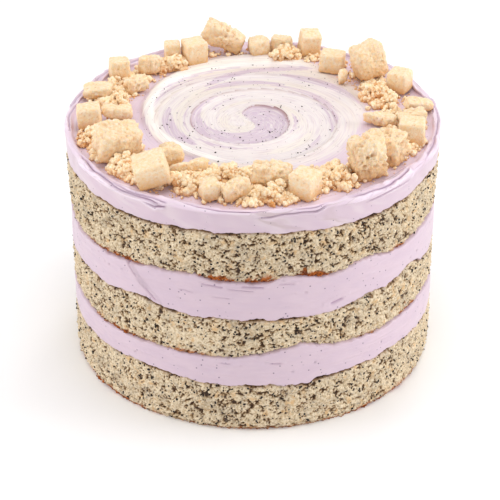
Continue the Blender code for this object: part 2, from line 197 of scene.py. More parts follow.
def build(name, points, *faces):
    """A smooth-shaded object from points in millimetres and arrays of faces."""
    sizes = np.concatenate([np.full(len(some), some.shape[1]) for some in faces])
    corners = np.concatenate([some.ravel() for some in faces]).astype(np.int32)
    mesh = bpy.data.meshes.new(name)
    mesh.vertices.add(len(points))
    mesh.vertices.foreach_set("co", (points * MM).ravel().astype(np.float32))
    mesh.loops.add(len(corners))
    mesh.loops.foreach_set("vertex_index", corners)
    mesh.polygons.add(len(sizes))
    mesh.polygons.foreach_set("loop_start", (np.cumsum(sizes) - sizes).astype(np.int32))
    mesh.update(calc_edges=True)
    mesh.shade_smooth()
    return new_object(name, mesh)


def store(piece, **numbers):
    """Keeps numbers for each point, each kind under the name that the finish reads."""
    for name, values in numbers.items():
        kept = np.zeros(len(piece.data.vertices), np.float32)
        kept[: np.size(values)] = np.ravel(values)
        piece.data.attributes.new(name, "FLOAT", "POINT").data.foreach_set("value", kept)


def padded(values, below=1, above=1):
    """The values of a grid's rows, with rows of zeros for those that were added below and above."""
    return np.pad(values, ((below, above), (0, 0)))


def around(columns):
    """The angles of this many columns, once round."""
    return np.arange(columns) / columns * TURN


def plane(x, y):
    """Points from two numbers each, with 0 as the third."""
    return np.stack([x, y, 0 * x], axis=-1)


def on_ring(angle, radius, height):
    """Points from an angle, a radius and a height, each an array."""
    angle, radius, height = np.broadcast_arrays(angle, radius, height)
    return np.stack([radius * np.cos(angle), radius * np.sin(angle), height], axis=-1)


def azimuth_of(angle, start=-180):
    """Degrees round the cake from start on: 0 is the front, and they grow towards the right."""
    return (np.degrees(angle) + 90 - start) % 360 + start


# %% [markdown]
# ## What the frame says
#
# The seams between bread and cream wander round the cake. The CAD layers hold their heights, so
# they are read from there: at each azimuth the highest point of a layer's rim is its top seam,
# and the lowest is its foot.


# %% Read the seams
def node_points(node):
    """A CAD node's points, in millimetres."""
    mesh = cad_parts[node].data
    flat = np.empty(len(mesh.vertices) * 3, np.float32)
    mesh.vertices.foreach_get("co", flat)
    return flat.reshape(-1, 3).astype(float) / MM


def seam(node, side):
    """A function that gives the height of a layer's top or foot rim at any angle."""
    points = node_points(node)
    radius = np.hypot(points[:, 0], points[:, 1])
    rim = points[radius > 0.95 * radius.max()]
    step = np.round(np.degrees(np.arctan2(rim[:, 1], rim[:, 0])) % 360, 1) % 360
    angles = np.unique(step)
    choose = np.max if side == "top" else np.min
    heights = np.array([choose(rim[step == angle, 2]) for angle in angles])
    return lambda angle: np.interp(np.degrees(angle) % 360, angles, heights, period=360)


LAYERS = ("sponge_1", "filling_1", "sponge_2", "filling_2", "sponge_3", "icing_top")
foot_of = {node: seam(node, "foot") for node in LAYERS}
top_of = {node: seam(node, "top") for node in LAYERS}

# How the icing's scraped foot wanders at the front: azimuths, millimetres up
FOOT_WANDER = (
    (-80, -65, -50, -38, -25, -12, 0, 20, 35, 45, 55, 65, 80),
    (0, 1, -0.6, -1.1, -0.7, -0.3, 0, -0.3, -1, -1.5, -1.3, -0.4, 0),
)


def with_wander(level):
    """The level that a seam function gives, plus the wander of the icing's foot there."""
    return lambda angle: level(angle) + np.interp(azimuth_of(angle), *FOOT_WANDER)


foot_of["icing_top"], top_of["sponge_3"] = with_wander(foot_of["icing_top"]), with_wander(top_of["sponge_3"])
CAKE_RADIUS = float(np.mean([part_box(node)[1].x for node in LAYERS[:5]]) / MM)

# The icing's level is the middle height of its top in the ring where it is mostly flat
FLAT_FROM, FLAT_TO, TOP_ABOVE = 48, 72, 98
icing_points = node_points("icing_top")
icing_reach = np.hypot(icing_points[:, 0], icing_points[:, 1])
flat = (icing_reach > FLAT_FROM) & (icing_reach < FLAT_TO) & (icing_points[:, 2] > TOP_ABOVE)
ICING_LEVEL = float(np.median(icing_points[flat, 2]))
print(f"radius {CAKE_RADIUS:.1f} mm, icing level {ICING_LEVEL:.1f} mm")

# %% [markdown]
# ## Finishes from a few recipes
#
# All the cake's finishes are built from the same small steps: read a stored number, add a grain,
# turn a number into a share, lay a coat of colour by that share, and raise a fine relief. The
# class below holds those steps, so that each finish reads as a recipe.


# %% A small kit for finishes
def colour(red, green, blue):
    """A colour from its screen values, 0 to 255, made linear by the power 2.2."""
    return (*((np.array([red, green, blue]) / 255) ** 2.2).tolist(), 1.0)


class Finish:
    """A Principled material and the steps that the cake's finishes share."""

    def __init__(self, name, base, roughness, gloss, glow=0.0, glow_depth=0.0, glow_reach=(1.0, 0.8, 0.7)):
        self.coats = base
        self.material = bpy.data.materials.new(name)
        self.material.use_nodes = True
        self.shader = self.material.node_tree.nodes["Principled BSDF"]
        looks = {"Roughness": roughness, "Specular IOR Level": gloss, "Subsurface Weight": glow,
                 "Subsurface Scale": glow_depth * MM, "Subsurface Radius": glow_reach}
        for socket, value in looks.items():
            self.shader.inputs[socket].default_value = value
        self.place = self.node("TexCoord", {})["Object"]

    def feed(self, source, socket):
        """Links a node's output to a socket, or sets a plain value on it."""
        if isinstance(source, bpy.types.NodeSocket):
            self.material.node_tree.links.new(source, socket)
        else:
            socket.default_value = source

    def node(self, kind, inputs, **settings):
        """The outputs of a new node. Each of its inputs, by name or number, is linked or set."""
        made = self.material.node_tree.nodes.new("ShaderNode" + kind)
        for name, value in settings.items():
            setattr(made, name, value)
        for name, source in inputs.items():
            self.feed(source, made.inputs[name])
        return made.outputs

    def read(self, name):
        """The number stored under this name."""
        return self.node("Attribute", {}, attribute_name=name)["Fac"]

    def grain(self, size, detail=2.0, flatten=1.0):
        """Noise from 0 to 1 with lumps about size millimetres wide, and flatter than wide."""
        spot = self.node("Mapping", {"Vector": self.place, "Scale": (1, 1, flatten)})["Vector"]
        return self.node("TexNoise", {"Vector": spot, "Scale": 1 / (size * MM), "Detail": detail})["Fac"]

    def streaks(self, across, along, width, seed=0.0):
        """Noise from 0 to 1 drawn out along the knife's path: width millimetres across it."""
        spot = self.node("CombineXYZ", {"X": self.times(across, 1 / width), "Y": along, "Z": seed})["Vector"]
        return self.node("TexNoise", {"Vector": spot, "Scale": 1.0})["Fac"]

    def share(self, value, low, high):
        """0 where the value is low and 1 where it is high, with a soft step between."""
        inputs = {"Value": value, "From Min": low, "From Max": high}
        return self.node("MapRange", inputs, interpolation_type="SMOOTHSTEP")["Result"]

    def times(self, first, second, plus=0.0):
        """The product of two numbers, plus a third."""
        return self.node("Math", {0: first, 1: second, 2: plus}, operation="MULTIPLY_ADD")["Value"]

    def patches(self, size, low, high, detail=2.0, flatten=1.0):
        """Soft-edged patches: 0 where the grain is low and 1 where it is high."""
        return self.share(self.grain(size, detail, flatten), low, high)

    def dots(self, size, outer, inner, low, high):
        """Scattered dots: 1 in a dot, 0 outside. Each cell of this size in millimetres has one point.
        A dot fades out round it, from the inner to the outer share of the size, if the point's
        random number is high."""
        cell = self.node("TexVoronoi", {"Vector": self.place, "Scale": 1 / (size * MM)})
        return self.times(self.share(cell["Distance"], outer, inner), self.share(cell["Color"], low, high))

    def mix(self, share, first, second):
        """The first colour where the share is 0 and the second where it is 1. Inputs 6 and 7 and
        output 2 are the node's colour ones."""
        return self.node("Mix", {"Factor": share, 6: first, 7: second}, data_type="RGBA")[2]

    def coat(self, source, share, most=1.0):
        """Lays a colour over the coats so far, by a share times most, and paints the surface with it."""
        self.coats = self.mix(share if most == 1.0 else self.times(share, most), self.coats, source)
        self.feed(self.coats, self.shader.inputs["Base Color"])

    def emboss(self, height, depth, strength=1.0):
        """Raises a fine relief this many millimetres deep."""
        bump = self.node("Bump", {"Distance": depth * MM, "Strength": strength, "Height": height})
        self.feed(bump["Normal"], self.shader.inputs["Normal"])


def dress(piece, node, finish):
    """Gives a piece its finish and its slot, and lets it ride in the place of its CAD node."""
    piece.data.materials.append(finish.material)
    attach(piece, "root")
    if node:
        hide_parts(node)
    piece.data.calc_loop_triangles()
    print(f"{piece.name}: {len(piece.data.loop_triangles)} triangles")


# %% [markdown]
# ## The sponge
#
# The side of a naked cake was scraped, so the crumb is torn open: pale flakes stand proud of brownish holes, and the
# black seeds sit in both. Colour alone would look printed on, so the relief is in the mesh, about a third of a
# millimetre from point to point. The depth of the holes is stored for the finish, which paints shade into them and
# along the top edge, where the bread draws in under the cream.

# %% Mix the sponge's finish
FLAKE = colour(239, 221, 192)
FLAKE_DULL = colour(207, 183, 148)
FLAKE_GOLD = colour(229, 192, 144)
# Painted shade in the crumb's holes, darkest in the deepest ones, and along the top edge
HOLE_PAINTED_SHADE = colour(152, 122, 88)
HOLE_DEEP_PAINTED_SHADE = colour(76, 56, 44)
SMUDGE = colour(112, 106, 104)
CRUST = colour(178, 98, 44)
CRUST_DARK = colour(108, 52, 28)

bread = Finish("poppy_seed_sponge", FLAKE, 0.85, 0.25)
bread.coat(FLAKE_DULL, bread.patches(0.9, 0.42, 0.62))
bread.coat(FLAKE_GOLD, bread.patches(3.5, 0.55, 0.75))
# Painted shade, by the stored depth of the holes
bread.coat(HOLE_PAINTED_SHADE, bread.share(bread.read("hole"), 0.25, 0.60))
bread.coat(HOLE_DEEP_PAINTED_SHADE, bread.share(bread.read("hole"), 0.52, 0.86))
bread.coat(SMUDGE, bread.patches(1.5, 0.58, 0.72, 3.0), 0.5)
bread.coat(SMUDGE, bread.patches(6.0, 0.45, 0.7, 3.0), 0.22)
bread.coat(bread.mix(bread.patches(1.4, 0.4, 0.65), CRUST, CRUST_DARK), bread.read("crust"))
bread.emboss(bread.grain(0.45, 3.0), 0.35, 0.8)


# %% Tear the sponge's side
SPONGE_COLUMNS = 1300
SPONGE_GRAIN = 0.37

# How far each sponge's foot is drawn in, how far its top leans out, how roughly it is torn
FOOT_DRAW = {"sponge_1": 1.3, "sponge_2": 0.7, "sponge_3": 0.7}
LEAN = {"sponge_1": 0.2, "sponge_2": 0.2, "sponge_3": 1.0}
TEAR = {"sponge_1": 0.75, "sponge_2": 0.75, "sponge_3": 0.9}


def crumb_relief(points, seed, tear):
    """(relief in millimetres, how deep in a hole from 0 to 1). Lumps of noise, plus a flake round
    each of many scattered points, minus pits of different widths, all times the tear. A hole is
    where that is low."""
    flat = points * (1, 1, 1.15)
    lumps = swing(flat, 1.9, seed)
    flakes = 0.45 - cells(flat + 0.9 * lumps[..., None], 0.95, seed + 2)[0]
    near, number = cells(flat, 2.0, seed + 4)
    pits = (1 - smooth(0.05 + 0.12 * number, 0.12 + 0.22 * number, near)) * (number > 0.35)
    relief = (1.9 * lumps + 1.15 * flakes - 1.1 * pits) * (tear + 0.6 * noise(points, 14.0, seed + 6))
    return relief, smooth(0.2, -1.0, relief)


def sponge_grid(node, seed):
    """(angles, radii, heights, holes): the side of one sponge as arrays of rows by columns. The
    radius is the cake's, drawn in at both edges, unevenly at the top, plus the relief."""
    angle = around(SPONGE_COLUMNS)
    foot, top = foot_of[node](angle), top_of[node](angle)
    rows = round(float(np.mean(top - foot)) / SPONGE_GRAIN)
    share = np.linspace(0, 1, rows)[:, None]
    height = foot + (top - foot) * share
    down, up = top - height, height - foot
    shy = 0.4 + 1.7 * smooth(0.35, 0.65, fractal(on_ring(angle, CAKE_RADIUS, 0.0), 7.0, seed + 9, 2))
    radius = CAKE_RADIUS - shy * (1 - smooth(0, 1.5, down)) - FOOT_DRAW[node] * (1 - smooth(0, 2.4, up))
    radius = radius + LEAN[node] * share
    relief, hole = crumb_relief(on_ring(angle, radius, height), seed, TEAR[node])
    # Painted shadow along the top edge, where the bread draws in under the cream, stored with the holes' painted
    # shade
    hole = np.maximum(hole, 0.45 * shy * (1 - smooth(0.2, 1.4, down)))
    return angle, radius + relief - 0.1, height, hole


# %% [markdown]
# The tin browns a sponge where it lies on its foot. Scraping takes most of that crust off, so it
# is left in patches, a millimetre or two high. The patches are listed by azimuth, which is 0 at
# the front and grows towards the right.

# %% Build the three sponges
# Patches: azimuth of the middle, half width in degrees, strength
CRUST_PATCHES = {
    "sponge_1": [(-60, 34, 0.7), (0, 30, 0.5), (45, 26, 0.8), (120, 40, 0.5), (-140, 45, 0.5)],
    "sponge_2": [(-47, 16, 0.7), (-20, 8, 0.5), (38, 5, 0.5), (57, 5, 1.0), (110, 20, 0.7), (-120, 25, 0.7)],
    "sponge_3": [(-48, 14, 0.8), (-11, 6, 1.1), (2, 5, 1.0), (18, 6, 1.1), (50, 4, 0.6), (95, 22, 0.8),
                 (165, 26, 0.9), (-110, 24, 0.8)],
}


def crust_share(node, angle, height, points):
    """How browned a point is, from 0 to 1. Each patch is a bell curve along the side that sets the
    crust's height there, and noise frays its upper edge."""
    rise = np.zeros_like(angle)
    for centre, half_width, strength in CRUST_PATCHES[node]:
        away = azimuth_of(angle, centre - 180) - centre
        rise = np.maximum(rise, strength * np.exp(-((away / half_width) ** 4)))
    tall = 4.8 * rise * smooth(0.25, 0.75, fractal(points, 2.0, 77, 3))
    above = height - foot_of[node](angle)
    return np.clip(rise * 1.6, 0, 1) * (1 - smooth(0.4, 1.0, above / np.maximum(tall, 0.01)))


sponge_sides = {}
for number, node in enumerate(("sponge_1", "sponge_2", "sponge_3")):
    angle, radius, height, hole = sponge_grid(node, 11 + 20 * number)
    points = on_ring(angle, radius, height)
    browned = crust_share(node, angle, height, points)
    points = on_ring(angle, radius + 0.45 * browned, height)
    inside = [on_ring(angle, 0.55 * CAKE_RADIUS, height[row]) for row in (0, -1)]
    grid = np.concatenate([inside[:1], points, inside[1:]])
    piece = build(f"{node}_crumb", *ring_grid(grid))
    store(piece, hole=padded(hole), crust=padded(browned))
    dress(piece, node, bread)
    sponge_sides[node] = (radius, height)

# %% [markdown]
# ## Poppy seeds
#
# A poppy seed is a slate-black bean a millimetre long. There are a few thousand on the side, so
# each has only twenty faces, smooth-shaded. They are one icosahedron repeated by array sums:
# scaled, turned, and moved to a place on the torn side, half sunk in it.


# %% Repeat a small shape by arrays
def icosahedron():
    """(points, faces) of the solid with twenty faces: its corners are the cyclic orders of
    (0, 1, golden ratio) with all signs, and a face joins three corners that are 2 apart."""
    golden = (1 + 5**0.5) / 2
    corners = [(0, a, b * golden) for a in (-1, 1) for b in (-1, 1)]
    points = np.array([np.roll(corner, turn) for corner in corners for turn in range(3)], float)
    beside = np.isclose(np.linalg.norm(points[:, None] - points[None], axis=-1), 2)
    faces = np.argwhere(beside[:, :, None] & beside[None] & beside[:, None])
    faces = faces[(faces[:, 0] > faces[:, 1]) & (faces[:, 1] > faces[:, 2])]
    a, b, c = (points[faces[:, i]] for i in range(3))
    inward = np.einsum("ij,ij->i", np.cross(b - a, c - a), a) < 0
    faces[inward] = faces[inward][:, ::-1]
    return points / np.linalg.norm(points[0]), faces


BALL_POINTS, BALL_FACES = icosahedron()
NEXT_IN_NOISE = 40.0


def random_turns(draw, count):
    """Random turning matrices, each made from a random quaternion of length 1."""
    four = draw.normal(size=(4, count))
    w, x, y, z = four / np.linalg.norm(four, axis=0)
    rows = [[1 - 2 * (y * y + z * z), 2 * (x * y - z * w), 2 * (x * z + y * w)],
            [2 * (x * y + z * w), 1 - 2 * (x * x + z * z), 2 * (y * z - x * w)],
            [2 * (x * z - y * w), 2 * (y * z + x * w), 1 - 2 * (x * x + y * y)]]
    return np.moveaxis(np.array(rows), 2, 0)


def repeated(centres, sizes, draw, rough=0.0, seed=0):
    """(points, faces) of the twenty-faced ball repeated at each centre, with its three half widths
    from sizes, turned at random. With rough, each point moves in or out by noise, by that share at
    most."""
    each = np.arange(len(centres))[:, None, None]
    local = BALL_POINTS[None] * sizes[:, None, :]
    if rough:
        local = local * (1 + 2 * rough * swing(local + NEXT_IN_NOISE * each, 0.9 * sizes.mean(), seed, 2)[..., None])
    turned = np.einsum("nij,nvj->nvi", random_turns(draw, len(centres)), local)
    points = (turned + centres[:, None, :]).reshape(-1, 3)
    return points, (BALL_FACES[None] + len(BALL_POINTS) * each).reshape(-1, 3)


def half_widths(draw, count, least, most, power):
    """Random half widths from least to most. The higher the power, the more of them are small."""
    return least + (most - least) * draw.uniform(size=count) ** power


print("faces of the small ball:", len(BALL_FACES))

# %% Sow the seeds
SEEDS_PER_CM2 = 16.0
SEED_SHAPE = np.array([1.4, 0.95, 0.8])

seed_coat = Finish("poppy_seed", colour(30, 25, 24), 0.7, 0.15)
seed_coat.coat(colour(76, 68, 66), seed_coat.grain(1.1))

draw = np.random.default_rng(7)
for node, (radius, height) in sponge_sides.items():
    tall = float(np.mean(height[-1] - height[0]))
    count = round(SEEDS_PER_CM2 * TURN * CAKE_RADIUS * tall / 100)
    row = draw.integers(1, len(radius) - 1, count)
    column = draw.integers(0, SPONGE_COLUMNS, count)
    centres = on_ring(column / SPONGE_COLUMNS * TURN, radius[row, column] + draw.uniform(-0.28, 0.06, count),
                      height[row, column])
    sizes = half_widths(draw, count, 0.22, 0.60, 1.7)[:, None] * SEED_SHAPE
    piece = build(f"{node}_seeds", *repeated(centres, sizes, draw))
    dress(piece, None, seed_coat)

# %% [markdown]
# ## The two fillings
#
# The cream between the sponges was scraped level with them. It is smooth and satin, with the
# scraper's faint level lines, a few pits where air came out, and specks of seed. Its edges smear
# over the bread unevenly, which is what makes the seam look like food and not like a ribbon.

# %% Mix the buttercream's finish
LILAC = colour(213, 191, 203)
LILAC_DEEP = colour(209, 187, 201)
# Painted light: the top outside the swirl is lighter than the side
LILAC_PAINTED_LIGHT = colour(227, 206, 221)
LILAC_SWIRL = colour(207, 186, 201)
CREAM = colour(234, 224, 221)
CREAM_WARM = colour(233, 223, 213)
CREAM_LIGHT = colour(251, 245, 238)
# Painted highlight on the tops of the lip's folds
LILAC_PAINTED_HIGHLIGHT = colour(240, 223, 236)
# Painted shade along the step of the swirl's crest
FOLD_PAINTED_SHADE = colour(150, 108, 106)
HAIR = colour(192, 170, 172)
# Painted shade in grooves, creases and drag lines
CREASE_PAINTED_SHADE = colour(170, 138, 166)
SPECK = colour(96, 80, 104)

butter = Finish("lilac_buttercream", LILAC, 0.38, 0.4, 0.08, 1.2)
butter.coat(LILAC_DEEP, butter.patches(9.0, 0.35, 0.7, 2.0, 2.0))
butter.coat(SPECK, butter.dots(2.2, 0.19, 0.10, 0.48, 0.56), 0.75)
# Painted shade in the grooves
butter.coat(CREASE_PAINTED_SHADE, butter.read("crease"))
butter.emboss(butter.grain(1.6, 3.0, 4.0), 0.12, 0.5)


# %% Spread the fillings
CREAM_COLUMNS = 960
CREAM_ROWS = 44
CREAM_PROUD = 0.35

# Grooves in the cream: azimuth and height at both ends, half width, depth
GROOVES = {
    "filling_1": [(5.5, 32.6, 8.4, 32.3, 0.35, 0.5), (-9.5, 32.4, -7.0, 32.2, 0.3, 0.35),
                  (120, 27, 131, 30, 0.5, 0.6), (-150, 28, -141, 26, 0.5, 0.5)],
    "filling_2": [(-40.5, 69.0, -35.6, 62.3, 0.5, 1.7), (-35.6, 62.3, -30.5, 56.5, 0.5, 1.0),
                  (24.2, 57.0, 27.4, 57.9, 0.7, 0.6), (-15, 68.5, -9, 67.8, 0.35, 0.6),
                  (-7, 67.2, 0, 66.5, 0.3, 0.45), (-3, 68.6, 3, 68.2, 0.35, 0.6), (8, 69.4, 12, 69.0, 0.3, 0.5),
                  (-22, 64.4, -18, 64.0, 0.25, 0.35), (-12, 63.1, -7, 62.9, 0.25, 0.35),
                  (100, 66, 112, 58, 0.6, 0.8), (-165, 60, -150, 64, 0.6, 0.7)],
}


def groove_relief(grooves, angle, height):
    """(relief in millimetres, how deep in a groove from 0 to 1). A groove is a bell curve of the
    distance from its line, with a low ridge of pushed-up cream along its upper side."""
    along = azimuth_of(angle)
    relief = np.zeros(np.broadcast(angle, height).shape)
    dark = np.zeros_like(relief)
    degree = math.radians(1) * CAKE_RADIUS
    for start, low, end, high, half, depth in grooves:
        x, z = (along - start) * degree, height - low
        run = np.array([(end - start) * degree, high - low])
        length = np.hypot(*run)
        run = run / length
        position = np.clip(x * run[0] + z * run[1], 0, length)
        side = (z - position * run[1]) * run[0] - (x - position * run[0]) * run[1]
        apart = np.hypot(x - position * run[0], z - position * run[1])
        relief -= depth * np.exp(-((apart / half) ** 2))
        relief += 0.6 * depth * np.exp(-(((side - 1.8 * half) / (1.3 * half)) ** 2)) * (apart < 6 * half)
        # How dark the groove's painted shade is
        dark = np.maximum(dark, min(1, 1.2 * depth) * np.exp(-((apart / (0.8 * half)) ** 2)))
    return relief, dark


def cream_relief(points, seed):
    """Scraped cream: wide soft swells, level scraper lines a millimetre apart, and rare pits."""
    swells = swing(points, (16, 16, 9), seed, 2)
    lines = swing(points, (14, 14, 0.9), seed + 3, 2)
    near, number = cells(points, 5.0, seed + 6)
    pits = (1 - smooth(0.04, 0.15, near)) * (number > 0.5)
    return 0.7 * swells + 0.4 * lines - 0.6 * pits


def smear(angle, level, number):
    """How far the cream smears over the bread at each angle, in millimetres: a coarse noise plus a
    fine one. The level picks another stretch of the same noise."""
    rim = on_ring(angle, CAKE_RADIUS, level)
    return 0.2 + 2.2 * swing(rim, 3.8, 90 + number, 4) + 0.8 * swing(rim, 1.4, 93 + number, 2)


for number, node in enumerate(("filling_1", "filling_2")):
    angle = around(CREAM_COLUMNS)
    foot = foot_of[node](angle) - smear(angle, 0.0, number)
    top = top_of[node](angle) + smear(angle, 50.0, number)
    share = np.linspace(0, 1, CREAM_ROWS)[:, None]
    height = foot + (top - foot) * share
    edge = np.minimum(height - foot, top - height)
    radius = CAKE_RADIUS + CREAM_PROUD - 1.6 * (1 - smooth(0, 0.8, edge)) ** 2
    points = on_ring(angle, radius, height)
    grooves, dark = groove_relief(GROOVES[node], angle, height)
    radius = radius + cream_relief(points, 50 + 10 * number) + grooves
    inside = [on_ring(angle, 0.5 * CAKE_RADIUS, line(angle)) for line in (foot_of[node], top_of[node])]
    grid = np.concatenate([inside[:1], on_ring(angle, radius, height), inside[1:]])
    piece = build(f"{node}_cream", *ring_grid(grid))
    # The crease number is the grooves' painted shade
    store(piece, crease=padded(dark))
    dress(piece, node, butter)

# %% [markdown]
# ## The swirl
#
# White and lilac creams were spread together on top with one long turn of a palette knife. Its
# path is a spiral that winds outwards clockwise, seen from above. The knife leaves a crest at the
# outer side of its path and a shallow trough inside it, and it draws the two colours out into
# bands and hair-thin streaks that follow the path. So the pattern is worked out in two numbers:
# how far the knife had turned at a point, and how far the point lies inside the crest. The whole
# swirl ends at an oval, and a thick white ring closes it at its left and back.

# %% Follow the knife
# The crest's radius in millimetres, for each angle that the knife had turned from azimuth -150
SWIRL_START = math.radians(120)
CREST_TURN = (0, 30, 83, 112, 156, 180, 227, 270, 327, 370, 407, 450, 510, 600, 660, 720, 1080, 1440)
CREST_RADIUS = (9.5, 14, 15, 14.7, 17.2, 19.7, 22.8, 25.5, 26.8, 28.8, 31, 33.5, 36.5, 39.5, 41, 44, 60, 76)
# By the degrees turned: how tall the crest is in millimetres, and how dark the painted shade line along it is
CREST_TALL = ((0, 60, 220, 400, 700, 1000), (0.3, 1.5, 1.2, 0.9, 0.8, 0.3))
CREST_DARK = ((0, 20, 60, 150, 215, 420, 700), (0.4, 0.7, 1, 0.9, 0.85, 0.45, 0.3))
# The swirl's outline is an oval, longer towards the back of the cake
SWIRL_EDGE = 45.0
SWIRL_MIDDLE = (-1.0, 12.0)
SWIRL_LONG = 52.5
# The thick white ring round its left and back: angles, radii of its middle, half widths
RING_TURN = (57, 71, 91, 116, 141, 176, 194, 214, 237, 262)
RING_RADIUS = (56, 60, 59, 56, 50.5, 43, 41, 38, 36.5, 36)
RING_HALF = (1.5, 4, 5.5, 5.5, 3, 3.3, 3, 4, 3, 1.5)


def swirl_reach(x, y):
    """How far out a point lies, as a radius of the oval's short side: SWIRL_EDGE on the outline."""
    return np.hypot(x - SWIRL_MIDDLE[0], (y - SWIRL_MIDDLE[1]) * SWIRL_EDGE / SWIRL_LONG)


def white_ring(x, y):
    """How far into the white ring a point lies: 1 along its middle, 0 outside it."""
    turn = np.degrees(np.arctan2(y, x)) % 360
    off = np.abs(np.hypot(x, y) - np.interp(turn, RING_TURN, RING_RADIUS)) / np.interp(turn, RING_TURN, RING_HALF)
    return (1 - smooth(0.45, 1.15, off)) * smooth(RING_TURN[0], 75, turn) * (1 - smooth(237, RING_TURN[-1], turn))


def knife_path(x, y):
    """(degrees turned, radius, millimetres inside the crest, share of the way across the path).
    A point belongs to the first turn of the spiral whose crest lies outside it."""
    radius = np.hypot(x, y)
    first = np.degrees(SWIRL_START - np.arctan2(y, x)) % 360
    turned = first.copy()
    for _ in range(3):
        turned = np.where(radius > np.interp(turned, CREST_TURN, CREST_RADIUS), turned + 360, turned)
    outer = np.interp(turned, CREST_TURN, CREST_RADIUS)
    inner = np.where(turned < 360, 0, np.interp(turned - 360, CREST_TURN, CREST_RADIUS))
    return turned, radius, outer - radius, (radius - inner) / (outer - inner)


def swirl_height(x, y):
    """The knife's relief in millimetres. From a crest it falls off to a trough at six tenths of the
    way to the next crest, and then it rises steeply. Streaks follow the path. The oval's edge and
    the white ring stand a little higher."""
    turned, _, inside, share = knife_path(x, y)
    fall = np.clip(1 - share / 0.62, 0, 1) ** 2 * (turned > 360)
    crest = np.maximum(fall, smooth(0.86, 1.0, share) ** 1.5)
    tall = np.interp(turned - 360 * (share < 0.5), *CREST_TALL)
    streaks = swing(plane(inside, turned / 30), (1.4, 1, 1), 5, 2)
    reach = swirl_reach(x, y)
    ring = 0.5 * np.exp(-(((reach - SWIRL_EDGE + 3.0) / 3.0) ** 2)) + 0.9 * white_ring(x, y)
    within = 1 - smooth(SWIRL_EDGE - 1.5, SWIRL_EDGE + 2.5, reach)
    return within * (1.25 * tall * crest + 0.5 * streaks - 0.25) + ring


# %% [markdown]
# The lilac lies in a comma at the middle and in long crescents further out. Each crescent is a
# band along an arc whose radius grows as the knife turns, and it tapers at both ends.

# %% Marble the two creams
# From this angle and radius to that angle and radius, clockwise, then half width and strength
BANDS = [
    (222, 30.5, 158, 37.5, 3.2, 1.0),
    (205, 27.3, 150, 29.6, 0.7, 0.5),
    (172, 24.4, 122, 27.5, 1.3, 0.7),
    (150, 20.0, 95, 25.5, 0.7, 0.6),
    (125, 36.3, 68, 38.0, 2.6, 0.8),
    (122, 39.0, 62, 56.5, 2.8, 0.95),
    (75, 45.5, 20, 47.5, 2.6, 0.8),
    (60, 41.0, 8, 40.5, 0.8, 0.4),
    (78, 35.5, -16, 33.3, 3.0, 0.95),
    (20, 17.2, -45, 19.4, 1.1, 0.7),
    (-22, 29.5, -78, 37.5, 2.2, 0.5),
    (178, 43.0, 118, 47.5, 0.9, 0.5),
    (-90, 24.5, -150, 27.8, 0.8, 0.6),
    (152, 46.8, 92, 53.8, 0.9, 0.8),
    (10, 22.0, -60, 25.5, 0.6, 0.35),
]


def band_share(angle, radius, band):
    """How much of a band lies at a point: 1 on its middle line, 0 beyond its tapering width."""
    start, inner, end, outer, half, strength = band
    along = ((start - np.degrees(angle)) % 360) / (start - end)
    middle = inner + (outer - inner) * along
    taper = np.sqrt(np.clip(np.sin(math.pi * np.clip(along, 0, 1)), 0, 1))
    across = np.abs(radius - middle) / np.maximum(half * taper, 0.05)
    return strength * (1 - smooth(0.55, 1.15, across)) * (along < 1)


def marble(x, y):
    """(share of lilac, warmth of the white, darkness of the painted shade line along the crest), each from 0 to 1.
    Lilac is where the comma or a band lies, frayed by hair-thin noise and held back by the white ring. Outside the
    oval all is lilac, and that edge is softer at the right front."""
    turned, radius, inside, _ = knife_path(x, y)
    angle = np.arctan2(y, x)
    spots = plane(inside, turned / 34)
    hair = fractal(spots, (1.6, 1, 1), 21, 3)
    hollow = np.clip((turned - 166) * 0.15, 0, 30)
    lilac = smooth(hollow - 0.9, hollow + 0.9, radius) * smooth(-0.1, 0.5, inside) * (turned < 352)
    for band in BANDS:
        lilac = np.maximum(lilac, band_share(angle, radius, band))
    lilac = 0.75 * smooth(0.2, 0.8, lilac * (0.70 + 0.6 * hair) + 0.9 * (hair - 0.5))
    lilac = lilac - 0.6 * white_ring(x, y)
    edge = SWIRL_EDGE + 4.5 * swing(plane(x, y), 15.0, 4)
    blend = 1.4 + 6.0 * smooth(-0.2, 0.7, np.cos(angle + math.radians(25)))
    lilac = np.maximum(lilac, smooth(edge - 0.8, edge + blend, swirl_reach(x, y)))
    warm = smooth(0.42, 0.75, noise(spots, (3.5, 2.2, 1), 8)) * (1 - lilac)
    return lilac, warm, np.interp(turned, *CREST_DARK) * (swirl_reach(x, y) < SWIRL_EDGE - 1)


# %% Mix the marbled finish
marbled = Finish("marbled_icing", CREAM, 0.38, 0.4, 0.08, 1.2)
marbled.coat(CREAM_WARM, marbled.read("warm"))
marbled.coat(CREAM_LIGHT, marbled.read("bright"))
tint = marbled.mix(marbled.patches(9.0, 0.35, 0.7), LILAC, LILAC_DEEP)
# Painted light on the top outside the swirl (rim), a painted highlight on the folds' tops (ridge), and the swirl's
# own lilac (within)
for place, lilac in (("rim", LILAC_PAINTED_LIGHT), ("ridge", LILAC_PAINTED_HIGHLIGHT), ("within", LILAC_SWIRL)):
    tint = marbled.mix(marbled.read(place), tint, lilac)
across, along = marbled.read("across"), marbled.read("along")
hair = marbled.streaks(across, along, 0.55)
drawn = marbled.times(marbled.share(hair, 0.3, 0.7), 0.8, marbled.read("lilac"))
marbled.coat(tint, marbled.share(drawn, 0.25, 1.45))
fine = marbled.share(marbled.streaks(across, along, 0.4, 7.0), 0.56, 0.74)
marbled.coat(HAIR, marbled.times(fine, marbled.share(marbled.read("bright"), 0.9, 0.2)), 0.6)
# Painted shade along the crest's step, as dark as the crest's number says
marbled.coat(FOLD_PAINTED_SHADE, marbled.times(marbled.share(across, 1.5, 0.2), marbled.read("crest")), 0.9)
